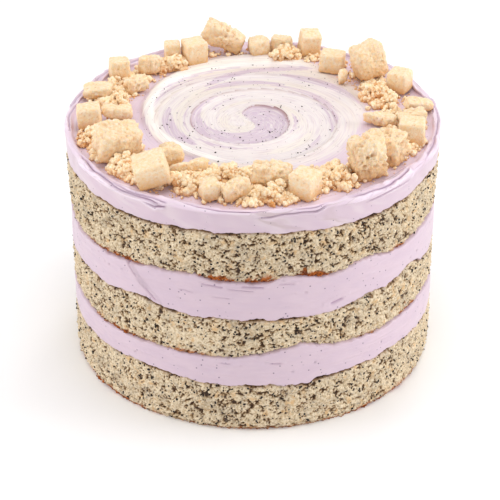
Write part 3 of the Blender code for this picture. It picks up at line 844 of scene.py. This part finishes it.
# Painted shade in the lip's creases and drag lines
marbled.coat(CREASE_PAINTED_SHADE, marbled.read("crease"), 0.9)
marbled.coat(SPECK, marbled.dots(2.2, 0.15, 0.08, 0.58, 0.66), 0.7)
marbled.emboss(hair, 0.16, 0.7)

# %% [markdown]
# ## The lip
#
# Scraping the side pushes cream up over the top edge, and the knife then folds it inwards. That
# leaves a raised lip with flaps and drag marks along it. The profile below runs from under the
# icing up its side, over the lip and in across the top, and the folds are ridged noise, long
# along the rim and short across it.

# %% Build the icing
ICING_COLUMNS = 620
LIP_ROWS = 56
LIP_START = 69.0
FINE_FROM = 48
# (radius, height above the icing's level) over the lip, from the side's top inwards
LIP_PROFILE = [(77.3, -4.0), (77.3, -0.3), (77.2, 0.4), (76.95, 0.9), (76.5, 1.25), (75.9, 1.4), (75.1, 1.3),
               (74.55, 1.0), (74.2, 0.5), (73.8, 0.15), (73.0, 0.0), (71.5, 0.0), (LIP_START, 0.0)]

# Flaps of cream: azimuths along a flap's edge, millimetres up the profile there, height, reach
FLAPS = [
    ((-66, -58, -50, -40.8, -31, -27.8), (6.2, 5.8, 5.0, 3.9, 4.0, 3.4), 0.75, 2.0),
    ((-47, -43.2, -37.8, -33, -28, -25), (5.6, 4.8, 4.6, 4.8, 5.2, 4.4), 0.55, 0.8),
    ((-34, -32.2, -29, -25.3), (2.9, 2.7, 2.0, 3.0), 0.8, 0.9),
    ((-33, -30.8, -23.2, -17.2, -11.5, 0), (9.2, 8.3, 6.4, 5.4, 5.0, 5.0), 0.7, 1.2),
    ((-27, -25.5, -18.5, -9), (10.6, 9.9, 7.6, 7.2), 0.45, 0.9),
    ((-3, 3.7, 8.8, 13.2, 17.8, 24), (5.0, 5.3, 6.4, 4.8, 4.6, 6.2), 0.55, 0.9),
    ((0, 4.8, 9.2, 13.8, 18.2, 22), (2.1, 2.3, 3.2, 3.3, 2.8, 4.9), 0.5, 0.8),
    ((21, 23.5, 30.8, 38.2, 44.8, 51.5, 58), (5.4, 5.6, 7.5, 9.6, 9.3, 10.0, 9.6), 0.45, 1.2),
    ((28, 32.2, 38, 43.2, 49.8, 55), (5.6, 5.0, 4.8, 4.8, 5.2, 6.4), 0.8, 1.1),
    ((33, 37.8, 45.5, 53), (1.6, 1.9, 2.4, 2.6), 0.45, 0.7),
    ((40, 46, 52, 60), (6.8, 6.6, 7.2, 7.8), 0.5, 0.9),
    ((62, 78, 92, 104), (5.2, 5.8, 4.9, 6.4), 0.6, 1.3),
    ((84, 100, 122), (7.6, 6.9, 7.8), 0.5, 1.2),
    ((110, 128, 146), (4.8, 5.6, 5.0), 0.7, 1.5),
    ((138, 156, 178), (7.4, 6.2, 6.8), 0.55, 1.2),
    ((168, 188, 204), (5.0, 4.6, 5.8), 0.7, 1.4),
    ((196, 214, 236), (7.0, 6.4, 5.2), 0.55, 1.2),
    ((226, 244, 262), (4.6, 5.4, 4.9), 0.7, 1.3),
    ((250, 264, 279), (7.2, 6.4, 6.0), 0.5, 1.1),
]


def icing_height(x, y):
    """The height of the icing's top in millimetres, inside the lip: the swirl's relief, and towards
    the lip a slow unevenness and short smears."""
    spots = plane(x, y)
    uneven = 0.7 * swing(spots, 13.0, 61, 2) + 0.35 * swing(spots, (5.0, 2.2, 1), 62, 2)
    return ICING_LEVEL + 0.15 + swirl_height(x, y) + uneven * smooth(44, 52, np.hypot(x, y))


def fold_relief(angle, along):
    """(relief in millimetres, darkness of a painted shade line from 0 to 1): ridged noise, (1 - |2n - 1|) cubed,
    over the place on the rim and the length along the profile, stronger where a slow noise says so."""
    ring = on_ring(angle, CAKE_RADIUS, 0.0)
    spots = ring + np.array([0.35, -0.35, 1.0]) * along[..., None]
    ridged = 1 - np.abs(2 * noise(spots, (13.0, 13.0, 2.1), 71) - 1)
    thin = 1 - np.abs(2 * noise(spots, (6.0, 6.0, 0.9), 72) - 1)
    where = 0.15 + 0.85 * smooth(0.35, 0.6, noise(ring, 24.0, 73))
    return (0.8 * ridged**3 + 0.3 * thin**3) * where - 0.2, where * thin**6


def flap_relief(angle, along):
    """(relief in millimetres, how deep in a crease from 0 to 1) of the cream's flaps. A flap rises
    towards its edge as exp(distance / reach), and a narrow crease lies just inside the edge."""
    azimuth = azimuth_of(angle, -80)
    relief = np.zeros(np.broadcast(angle, along).shape)
    depth = np.zeros_like(relief)
    for azimuths, places, tall, reach in FLAPS:
        wobble = 0.5 * swing(on_ring(angle, CAKE_RADIUS, 9.0 * tall), 3.5, 74, 2)
        inward = along - np.interp(azimuth, azimuths, places) - wobble
        start, end = azimuths[0], azimuths[-1]
        taper = smooth(start, start + 5, azimuth) * (1 - smooth(end - 1.2, end, azimuth))
        edge = smooth(0.2, -0.15, inward) * np.exp(np.minimum(inward, 0) / reach)
        crease = np.exp(-(((inward - 0.3) / 0.26) ** 2))
        relief += 1.5 * taper * tall * (edge - 0.8 * crease)
        # The crease's depth, which the finish paints as shade
        depth = np.maximum(depth, taper * crease * min(1, 1.4 * tall))
    return relief, depth


# The side's frayed foot, the lip's profile, and the way out of the lip at each step along it
angle = around(ICING_COLUMNS)
rim = on_ring(angle, CAKE_RADIUS, 0.0)
seam_level = foot_of["icing_top"](angle)
foot = seam_level - 0.25 - 2.2 * (fractal(rim, 6.0, 81, 4) - 0.45) - 1.1 * swing(rim, 1.8, 82, 2)
lip_radius, lip_height = np.array(LIP_PROFILE).T
run = np.concatenate([[0], np.cumsum(np.hypot(np.diff(lip_radius), np.diff(lip_height)))])
steps = np.linspace(0, run[-1], LIP_ROWS)[:, None]
wander = 2.6 * swing(rim, 11.0, 85) * smooth(4.0, 6.0, steps) * smooth(10.5, 8.0, steps)
lip_r = np.interp(steps + wander, run, lip_radius)
lip_z = ICING_LEVEL + np.interp(steps + wander, run, lip_height)
outward = np.gradient(lip_z, axis=0), -np.gradient(lip_r, axis=0)
outward = np.stack(outward) / np.hypot(*outward)
swell = 0.55 + 0.9 * noise(rim, 15.0, 83)
lip_z = np.where(lip_z > ICING_LEVEL, ICING_LEVEL + (lip_z - ICING_LEVEL) * swell, lip_z)

# The scraped side, from its foot up to the lip
side_share = np.linspace(0, 1, 10)[1:-1, None]
side_z = foot + (lip_z[0] - foot) * side_share
side_r = np.full_like(side_z, lip_r[0, 0]) - 0.35 * (1 - smooth(0, 0.8, side_z - foot)) - 0.6 * (1 - side_share)
side_r += 0.45 * swing(on_ring(angle, side_r, side_z), (14, 14, 5), 84, 2)

# Flaps and folds raise the lip along its way out
flaps, crease = flap_relief(angle, steps)
fade = 1 - smooth(0.85, 1.0, steps / run[-1])
drags, lines = fold_relief(angle, steps)
onto_lip = smooth(1.5, 4.5, steps) * smooth(9.5, 7.0, steps)
folds = (flaps + 1.1 * drags * onto_lip) * fade
crease = np.maximum(crease, 0.4 * lines * onto_lip * fade)
lip_r = lip_r + folds * outward[0] + (side_r[-1] - lip_r[0]) * smooth(5, 0, steps)
lip_z = lip_z + folds * outward[1]

# The top: coarse rows from the lip in to the fine ones, which end in a small ring at the middle
top_r = np.concatenate([np.linspace(LIP_START, FINE_FROM, 22)[1:], np.linspace(FINE_FROM, 0.35, 74)[1:]])
top = on_ring(angle, top_r[:, None], 0.0)
top[..., 2] = icing_height(top[..., 0], top[..., 1])
join = smooth(4, run[-1], steps) ** 2
lip_z = lip_z + join * (icing_height(LIP_START * np.cos(angle), LIP_START * np.sin(angle)) - ICING_LEVEL)

under = [on_ring(angle, 0.5 * CAKE_RADIUS, seam_level), on_ring(angle, CAKE_RADIUS - 1.2, foot + 0.1)]
grid = np.concatenate([np.stack(under), on_ring(angle, side_r, side_z), on_ring(angle, lip_r, lip_z), top])
icing = build("icing_swirl", *ring_grid(grid))
x, y, z = np.moveaxis(grid, -1, 0)
lilac, warm, crest = marble(x, y)
turned, _, inside, _ = knife_path(x, y)
within = 1 - smooth(SWIRL_EDGE - 2, SWIRL_EDGE + 2, swirl_reach(x, y))
around_lip = len(under) + len(side_z), len(top)
# rim is painted light on the top outside the swirl, ridge a painted highlight on the folds' tops, crest the painted
# shade line along the crest, crease the painted shade in the lip's creases
store(icing, lilac=lilac, warm=warm, crest=crest, across=inside, along=turned / 22, within=within,
      bright=white_ring(x, y), ridge=padded(smooth(0.25, 1.0, folds), *around_lip),
      rim=(1 - within) * smooth(ICING_LEVEL - 0.6, ICING_LEVEL + 0.4, z), crease=padded(crease, *around_lip))
dress(icing, "icing_top", marbled)

# %% [markdown]
# ## Shortbread
#
# The cubes were cut from a baked slab and the chunks broken from it. Both are dry and porous:
# pale gold, with sandy grains and small dark pores. Each keeps the form of its CAD solid. Seen
# from the solid's middle, the way out in any direction ends at the nearest of its face planes,
# so the radius is 1 over the largest of (normal . direction) / (distance of the plane). A high
# power in place of the largest rounds the edges a little, as crumbs breaking off them would.

# %% Mix the shortbread's finish
SHORT_PALE = colour(252, 236, 213)
SHORT_GOLD = colour(253, 214, 160)
# Toasted specks, and painted shade towards the foot of each piece
SHORT_TOAST_AND_SHADE = colour(221, 164, 98)
# Dark pores, and painted shade in dents and deep pits
SHORT_PORE_AND_SHADE = colour(196, 134, 78)
CRUMB_PALE = colour(254, 239, 211)
CRUMB_GOLD = colour(253, 219, 168)
# Painted warm shade low in the heaps and in crevices, and a little random toast
CRUMB_TOAST_AND_SHADE = colour(216, 142, 66)

# How far red, green and blue light glow through the crumb, as shares
WARM_REACH = (1.0, 0.55, 0.3)

short = Finish("shortbread", SHORT_PALE, 0.9, 0.2, 0.2, 1.0, WARM_REACH)
short.coat(SHORT_GOLD, short.patches(1.2, 0.2, 0.8, 5.0))
short.coat(SHORT_TOAST_AND_SHADE, short.patches(0.4, 0.50, 0.72, 3.0), 0.25)
short.coat(SHORT_PORE_AND_SHADE, short.dots(1.3, 0.20, 0.08, 0.55, 0.62), 0.35)
# Painted shade: darker and warmer towards the foot of each piece
short.coat(SHORT_TOAST_AND_SHADE, short.read("toast"))
# Dark pores, and painted shade in the dents and deep pits
short.coat(SHORT_PORE_AND_SHADE, short.read("pore"))
short.emboss(short.grain(0.5, 4.0), 0.50, 1.0)

crumb = Finish("shortbread_crumb", CRUMB_PALE, 0.9, 0.2)
crumb.coat(CRUMB_GOLD, crumb.patches(0.8, 0.38, 0.66, 3.0))
# Painted warm shade low down and in the crevices, with a little random toast
crumb.coat(CRUMB_TOAST_AND_SHADE, crumb.share(crumb.read("pore"), 0.0, 1.1), 0.85)
crumb.emboss(crumb.grain(0.4, 3.0), 0.12, 0.5)


# %% Shape the cubes and chunks
CHUNK_GRAIN = 0.42
FEWEST_COLUMNS, MOST_COLUMNS = 40, 132

# How sharp the edges are left (the power), and how rough the break is
CUT, WORN, BROKEN = (40, 0.04), (9, 0.45), (12, 0.7)
CHARACTER = {
    "chunk_01": (8, 0.9), "chunk_02": (9, 1.1), "chunk_03": (10, 0.7), "chunk_04": (10, 1.5),
    "chunk_05": (9, 1.3), "chunk_06": (10, 1.1), "chunk_07": (8, 0.9), "chunk_12": (8, 1.0),
    "chunk_17": (8, 1.1), "chunk_18": (7, 0.9),
}


def node_triangles(node):
    """The corner points of a CAD node's triangles, in millimetres."""
    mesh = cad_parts[node].data
    mesh.calc_loop_triangles()
    corners = np.empty(len(mesh.loop_triangles) * 3, np.int32)
    mesh.loop_triangles.foreach_get("vertices", corners)
    return node_points(node)[corners.reshape(-1, 3)]


def face_planes(triangles):
    """(centre of the solid, unit normals, distances of the planes from the centre, areas)."""
    a, b, c = (triangles[:, i] for i in range(3))
    normal = np.cross(b - a, c - a)
    area = np.linalg.norm(normal, axis=1) / 2
    keep = area > 1e-4
    normal, area, middle = normal[keep] / (2 * area[keep, None]), area[keep], triangles[keep].mean(axis=1)
    centre = (middle * area[:, None]).sum(axis=0) / area.sum()
    return centre, normal, np.einsum("ij,ij->i", middle - centre, normal), area


def crumbly_relief(points, seed, rough):
    """(relief in millimetres, how deep in a dark spot from 0 to 1): grains, knobs and slow swells, less pores, dents
    and deep pits, plus scoops with a sharp ridge between them, as a break leaves. The dark spots are the pores, plus
    painted shade in the dents and deep pits."""
    grains = swing(points, 1.1, seed, 2)
    near, number = cells(points, 1.5, seed)
    pores = (1 - smooth(0.12, 0.34, near)) * (number > 0.66)
    knobs = 0.45 - cells(points + grains[..., None], 1.3, seed + 3)[0]
    scoops = cells(points + 1.5 * grains[..., None], 4.6, seed + 5)[0] - 0.5
    dents = smooth(0.60, 0.80, noise(points, 2.8, seed + 8))
    swells = swing(points, 6.5, seed + 11, 2)
    deep = (1 - smooth(0.12, 0.34, cells(points, 3.3, seed + 14)[0])) * max(rough - 0.6, 0)
    relief = (0.4 + 0.7 * rough) * grains - 2.2 * deep + 0.9 * rough * knobs - 0.3 * pores
    relief = relief - (0.1 + 0.5 * rough) * dents + 1.1 * rough * scoops + 1.9 * rough * swells
    return relief, np.clip(pores + 0.35 * dents * rough + deep, 0, 1)


wreath = sorted(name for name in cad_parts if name.startswith(("cube", "chunk")))
for number, node in enumerate(wreath):
    centre, normal, distance, area = face_planes(node_triangles(node))
    weight = 6 * area / area.sum()
    low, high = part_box(node)
    girth = TURN * float((high - low).length) / (2 * MM) * 0.55
    columns = int(np.clip(girth / CHUNK_GRAIN, FEWEST_COLUMNS, MOST_COLUMNS))
    rows = columns // 2
    turn = around(columns)
    tilt = (np.arange(rows) + 0.5) / rows * math.pi
    way = on_ring(turn, np.sin(tilt)[:, None], -np.cos(tilt)[:, None])
    facing = np.clip(way @ normal.T / np.maximum(distance, 0.3), 0, None)
    kind = CUT if node.startswith("cube") else WORN if number % 2 else BROKEN
    power, rough = CHARACTER.get(node, kind)
    radius = (weight * facing**power).sum(axis=-1) ** (-1 / power)
    points = centre + way * radius[..., None]
    relief, pores = crumbly_relief(points, 100 + number, rough)
    points = points + way * (relief + (0 if node.startswith("cube") else 0.25))[..., None]
    piece = build(f"{node}_baked", *ring_grid(points))
    # Painted shade, stronger towards the foot of each piece
    rise = (points[..., 2] - points[..., 2].min()) / np.ptp(points[..., 2])
    # Dark pores, with painted shade in the dents and deep pits
    store(piece, pore=pores * 0.45, toast=0.75 * smooth(0.65, 0.0, rise))
    dress(piece, node, short)

# %% [markdown]
# ## Heaps of crumbs
#
# Between the chunks lie heaps of crumbs. A heap's CAD solid is its core, so a finer and slightly smaller copy of it
# is made first: each triangle is split, and noise moves every point sideways as well as up, which breaks the facets.
# Then crumbs of many sizes are strewn over the core, more where it has more area. Light is warmer low in a heap, in
# a crumb's crevices and on the core between the crumbs. So warm shade is painted there, stored as a tone with a
# little random toast.

# %% Strew the heaps
CRUMBS_PER_CM2 = 72
CORE_SHARE = 0.93
GRAINS = 7


def split_once(triangles):
    """Each triangle as four, by the middles of its sides."""
    a, b, c = (triangles[:, i] for i in range(3))
    ab, bc, ca = (a + b) / 2, (b + c) / 2, (c + a) / 2
    return np.concatenate([np.stack(four, axis=1) for four in ((a, ab, ca), (ab, b, bc), (ca, bc, c), (ab, bc, ca))])


def welded(triangles):
    """(points, faces) of loose triangles, with corners in the same place made one."""
    flat = triangles.reshape(-1, 3)
    _, first, which = np.unique(np.round(flat, 3), axis=0, return_index=True, return_inverse=True)
    faces = which.reshape(-1, 3)
    whole = (faces[:, 0] != faces[:, 1]) & (faces[:, 1] != faces[:, 2]) & (faces[:, 2] != faces[:, 0])
    return flat[first], faces[whole]


def strewn(triangles, count, draw):
    """(places, normals): random points on the upward triangles, in proportion to their area."""
    a, b, c = (triangles[:, i] for i in range(3))
    normal = np.cross(b - a, c - a)
    area = np.linalg.norm(normal, axis=1)
    normal = normal / np.maximum(area, 1e-9)[:, None]
    chance = area * (normal[:, 2] > -0.1)
    pick = draw.choice(len(triangles), count, p=chance / chance.sum())
    u, v = np.sort(draw.uniform(size=(2, count)), axis=0)
    shares = np.stack([u, v - u, 1 - v], axis=-1)
    return (triangles[pick] * shares[..., None]).sum(axis=1), normal[pick]


def crumbs(centres, half, draw, seed):
    """(points, faces, how deep in a crevice each point is) of crumbs. Each is a grain at its centre
    with six smaller ones round it, at 0.62 of its half width, and noise makes every grain lumpy. A
    crevice is where a point lies near the crumb's centre."""
    count = len(centres)
    first = np.arange(GRAINS) == 0
    way = draw.normal(size=(count, GRAINS, 3))
    way *= np.where(first, 0, 0.62)[:, None] / np.linalg.norm(way, axis=-1, keepdims=True)
    spots = centres[:, None] + way * half[:, None, None]
    sizes = half[:, None] * draw.uniform(0.38, 0.66, (count, GRAINS)) * np.where(first, 1.4, 1)
    sizes = sizes.reshape(-1, 1) * draw.uniform(0.8, 1.2, (GRAINS * count, 3))
    points, faces = repeated(spots.reshape(-1, 3), sizes, draw, rough=0.5, seed=seed)
    away = np.linalg.norm(points.reshape(count, -1, 3) - centres[:, None], axis=-1) / half[:, None]
    return points, faces, smooth(0.95, 0.45, away).ravel()


draw = np.random.default_rng(23)
for node in sorted(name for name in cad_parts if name.startswith("crumble")):
    triangles = node_triangles(node)
    points, faces = welded(split_once(triangles))
    shift = np.stack([swing(points, 1.5, 200 + axis, 2) for axis in range(3)], axis=-1)
    middle = points.mean(axis=0)
    core = middle + (points - middle) * CORE_SHARE + 2.0 * shift
    low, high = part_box(node)
    footprint = (high.x - low.x) * (high.y - low.y) / MM**2 / 100
    count = round(CRUMBS_PER_CM2 * footprint)
    place, normal = strewn(triangles, count, draw)
    half = half_widths(draw, count, 0.6, 2.1, 1.8)
    place = place + normal * half[:, None] * 0.3
    place[:, 2] = np.maximum(place[:, 2], ICING_LEVEL + half * 0.7)
    grains, grain_faces, crevice = crumbs(place, half, draw, 31)
    piece = build(f"{node}_grains", np.concatenate([core, grains]), faces, grain_faces + len(core))
    # Painted warm shade on the core between the crumbs, low in the heap and in each crumb's crevices, over a small
    # random tone
    low_down = smooth(4.5, 0.5, grains[:, 2] - ICING_LEVEL)
    tone = np.repeat(draw.uniform(0, 0.2, count), len(grains) // count) + 0.6 * low_down + 0.55 * crevice
    store(piece, pore=np.concatenate([np.full(len(core), 0.8), tone]))
    dress(piece, node, crumb)

# %% [markdown]
# ## Loose crumbs
#
# What fell off the heaps lies round them on the lilac, a few large crumbs and many small ones,
# thinning out towards the swirl and the lip. Their height comes from the same formula as the
# icing's, so each rests on the cream.

# %% Strew the loose crumbs
WREATH_MIDDLE = 61.5
# Drifts of crumbs between the heaps: middle x and y, half widths, share of the crumbs
DRIFTS = [
    (-62, -28, 4, 5, 1.2), (-50, -46, 5, 4, 1.0), (-29, -46, 6, 4, 0.8), (-16, -52, 7, 5, 1.6), (-3, -59, 6, 5, 1.2),
    (8, -66, 8, 2.5, 1.2), (31, -50, 5, 6, 1.2), (-61, 20, 5, 6, 1.0), (-52, 36, 5, 6, 1.0), (-40, 52, 6, 5, 1.0),
    (66, -22, 3, 5, 0.6), (51, 30, 5, 8, 0.8), (-20, -43, 10, 3, 0.7), (56, 8, 5, 7, 0.8), (30, 60, 8, 4, 0.6),
    (-18, -45, 9, 3.5, 1.3), (-1, -47, 6, 3, 0.8), (-44, -24, 3, 3, 0.25),
]
# How far in they reach: azimuths, radii. The lip keeps them in at the outer radius.
INNER_LIMIT = (
    (-180, -165, -145, -129, -115, -60, -35, -20, 0, 20, 40, 90, 130, 147, 161, 180),
    (63.5, 63.5, 60, 55, 53, 50, 45, 40, 41.5, 46, 50, 51, 53, 59, 62.5, 63.5),
)
OUTER_LIMIT = 71.8


def loose(name, homes, count, halves, power, draw, clotted=True):
    """Crumbs round some homes, each given as in DRIFTS: a crumb lies off its home's middle by a bell
    curve, and is drawn a little towards the wreath's middle ring. Clotted ones are crumbs of seven
    grains, and the others are single grains."""
    homes = np.array(homes)
    home = homes[draw.choice(len(homes), count, p=homes[:, 4] / homes[:, 4].sum())]
    spot = home[:, :2] + draw.normal(0, 1, (count, 2)) * home[:, 2:4]
    radius, angle = np.hypot(*spot.T), np.arctan2(spot[:, 1], spot[:, 0])
    radius = WREATH_MIDDLE + (radius - WREATH_MIDDLE) * 0.9
    inner = np.interp(azimuth_of(angle), *INNER_LIMIT) + draw.normal(0, 1.2, count)
    keep = (radius > inner) & (radius < OUTER_LIMIT)
    x, y = radius[keep] * np.cos(angle[keep]), radius[keep] * np.sin(angle[keep])
    half = half_widths(draw, len(x), *halves, power)
    centres = np.stack([x, y, icing_height(x, y) + 0.5 * half], axis=-1)
    if clotted:
        points, faces, crevice = crumbs(centres, half, draw, 37)
    else:
        points, faces = repeated(centres, half[:, None] * draw.uniform(0.75, 1.2, (len(x), 3)), draw, 0.5, 37)
        crevice = 0
    piece = build(name, points, faces)
    # Painted warm shade at each crumb's foot on the cream and in its crevices
    store(piece, pore=0.7 * smooth(1.7, 0.2, points[:, 2] - ICING_LEVEL) + 0.55 * crevice)
    dress(piece, None, crumb)


draw = np.random.default_rng(29)
boxes = [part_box(node) for node in wreath]
node_homes = [((low.x + high.x) / 2 / MM, (low.y + high.y) / 2 / MM, 6, 6, 0.35) for low, high in boxes]
loose("loose_crumbs", node_homes + DRIFTS, 1420, (0.5, 1.7), 1.9, draw)
loose("drift_crumbs", DRIFTS, 1000, (0.7, 2.3), 1.5, draw)
loose("crumb_grit", node_homes + DRIFTS, 4200, (0.2, 0.55), 1.5, draw, clotted=False)

# %% [markdown]
# ## Specks in the swirl
#
# Ground seeds in the cream show as dark specks. The larger ones stand a little proud, so they are
# small grains of their own. More of them lie in the lilac than in the white.

# %% Strew the specks
SPECK_COUNT = 400
TRIES = 4 * SPECK_COUNT
SPECK_SHAPE = np.array([1.3, 1.0, 0.7])

draw = np.random.default_rng(31)
reach = np.sqrt(draw.uniform(0.005, 1.05, TRIES))
angle = draw.uniform(0, TURN, TRIES)
x, y = SWIRL_EDGE * reach * np.cos(angle) + SWIRL_MIDDLE[0], SWIRL_LONG * reach * np.sin(angle) + SWIRL_MIDDLE[1]
amount, _, _ = marble(x, y)
keep = draw.uniform(size=len(x)) < 0.12 + 0.5 * amount
x, y = x[keep][:SPECK_COUNT], y[keep][:SPECK_COUNT]
half = half_widths(draw, len(x), 0.11, 0.41, 4)
centres = np.stack([x, y, icing_height(x, y) + 0.05], axis=-1)
piece = build("swirl_specks", *repeated(centres, half[:, None] * SPECK_SHAPE, draw))
dress(piece, None, seed_coat)

# %% [markdown]
# ## The studio
#
# The photograph is high-key: a white room with soft light from above, from both sides and from
# behind, and white all round that fills the shadows. The front of the cake is its darkest side.

# %% Set up the floor and the lights
FLOOR_HALF = 3.0
FLOOR_CORNERS = [(x * FLOOR_HALF, y * FLOOR_HALF, 0) for x, y in ((-1, -1), (1, -1), (1, 1), (-1, 1))]
WORLD_LIGHT = 0.57

# Square lights: their place in metres, their width, and their watts
LIGHTS = {
    "window_above": ((0.05, -0.05, 1.20), 0.70, 4.4),
    "window_behind": ((0.30, 0.80, 0.90), 0.30, 1.4),
    "window_left": ((-1.3, 0.0, 0.5), 0.8, 7.0),
    "window_right": ((1.3, 0.0, 0.5), 0.8, 8.5),
    "fill_front": ((0.0, -1.5, 0.7), 1.2, 4.2),
}
AIM = Vector((0, 0, 0.05))

floor_mesh = bpy.data.meshes.new("floor")
floor_mesh.from_pydata(FLOOR_CORNERS, [], [(0, 1, 2, 3)])
floor = new_object("floor", floor_mesh)
floor_finish = Finish("pale_floor", (0.97, 0.965, 0.97, 1), 0.6, 0.3)
floor_finish.coat((0.985, 0.98, 0.985, 1), floor_finish.grain(60.0))
floor_mesh.materials.append(floor_finish.material)
floor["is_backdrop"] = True

for name, (spot, size, power) in LIGHTS.items():
    lamp = bpy.data.lights.new(name, "AREA")
    lamp.size = size
    lamp.energy = power
    made = new_object(name, lamp)
    made.location = spot
    made.rotation_euler = (made.location - AIM).to_track_quat("Z", "Y").to_euler()

world = bpy.data.worlds.new("white_room")
bpy.context.scene.world = world
world.use_nodes = True
world.node_tree.nodes["Background"].inputs["Color"].default_value = (1, 1, 1, 1)
world.node_tree.nodes["Background"].inputs["Strength"].default_value = WORLD_LIGHT
bpy.context.scene.view_settings.view_transform = "Standard"
print("floor, lights and world are in place")

# %% [markdown]
# ## Both sizes
#
# The looks must not change the size, so both boxes are printed: the CAD model's, and the dressed cake's.

# %% Print the sizes and finish
dressed_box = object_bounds()
sizes = {"cad": [list(corner) for corner in cad_box], "visual": [list(corner) for corner in dressed_box]}
print("boxes:", sizes)
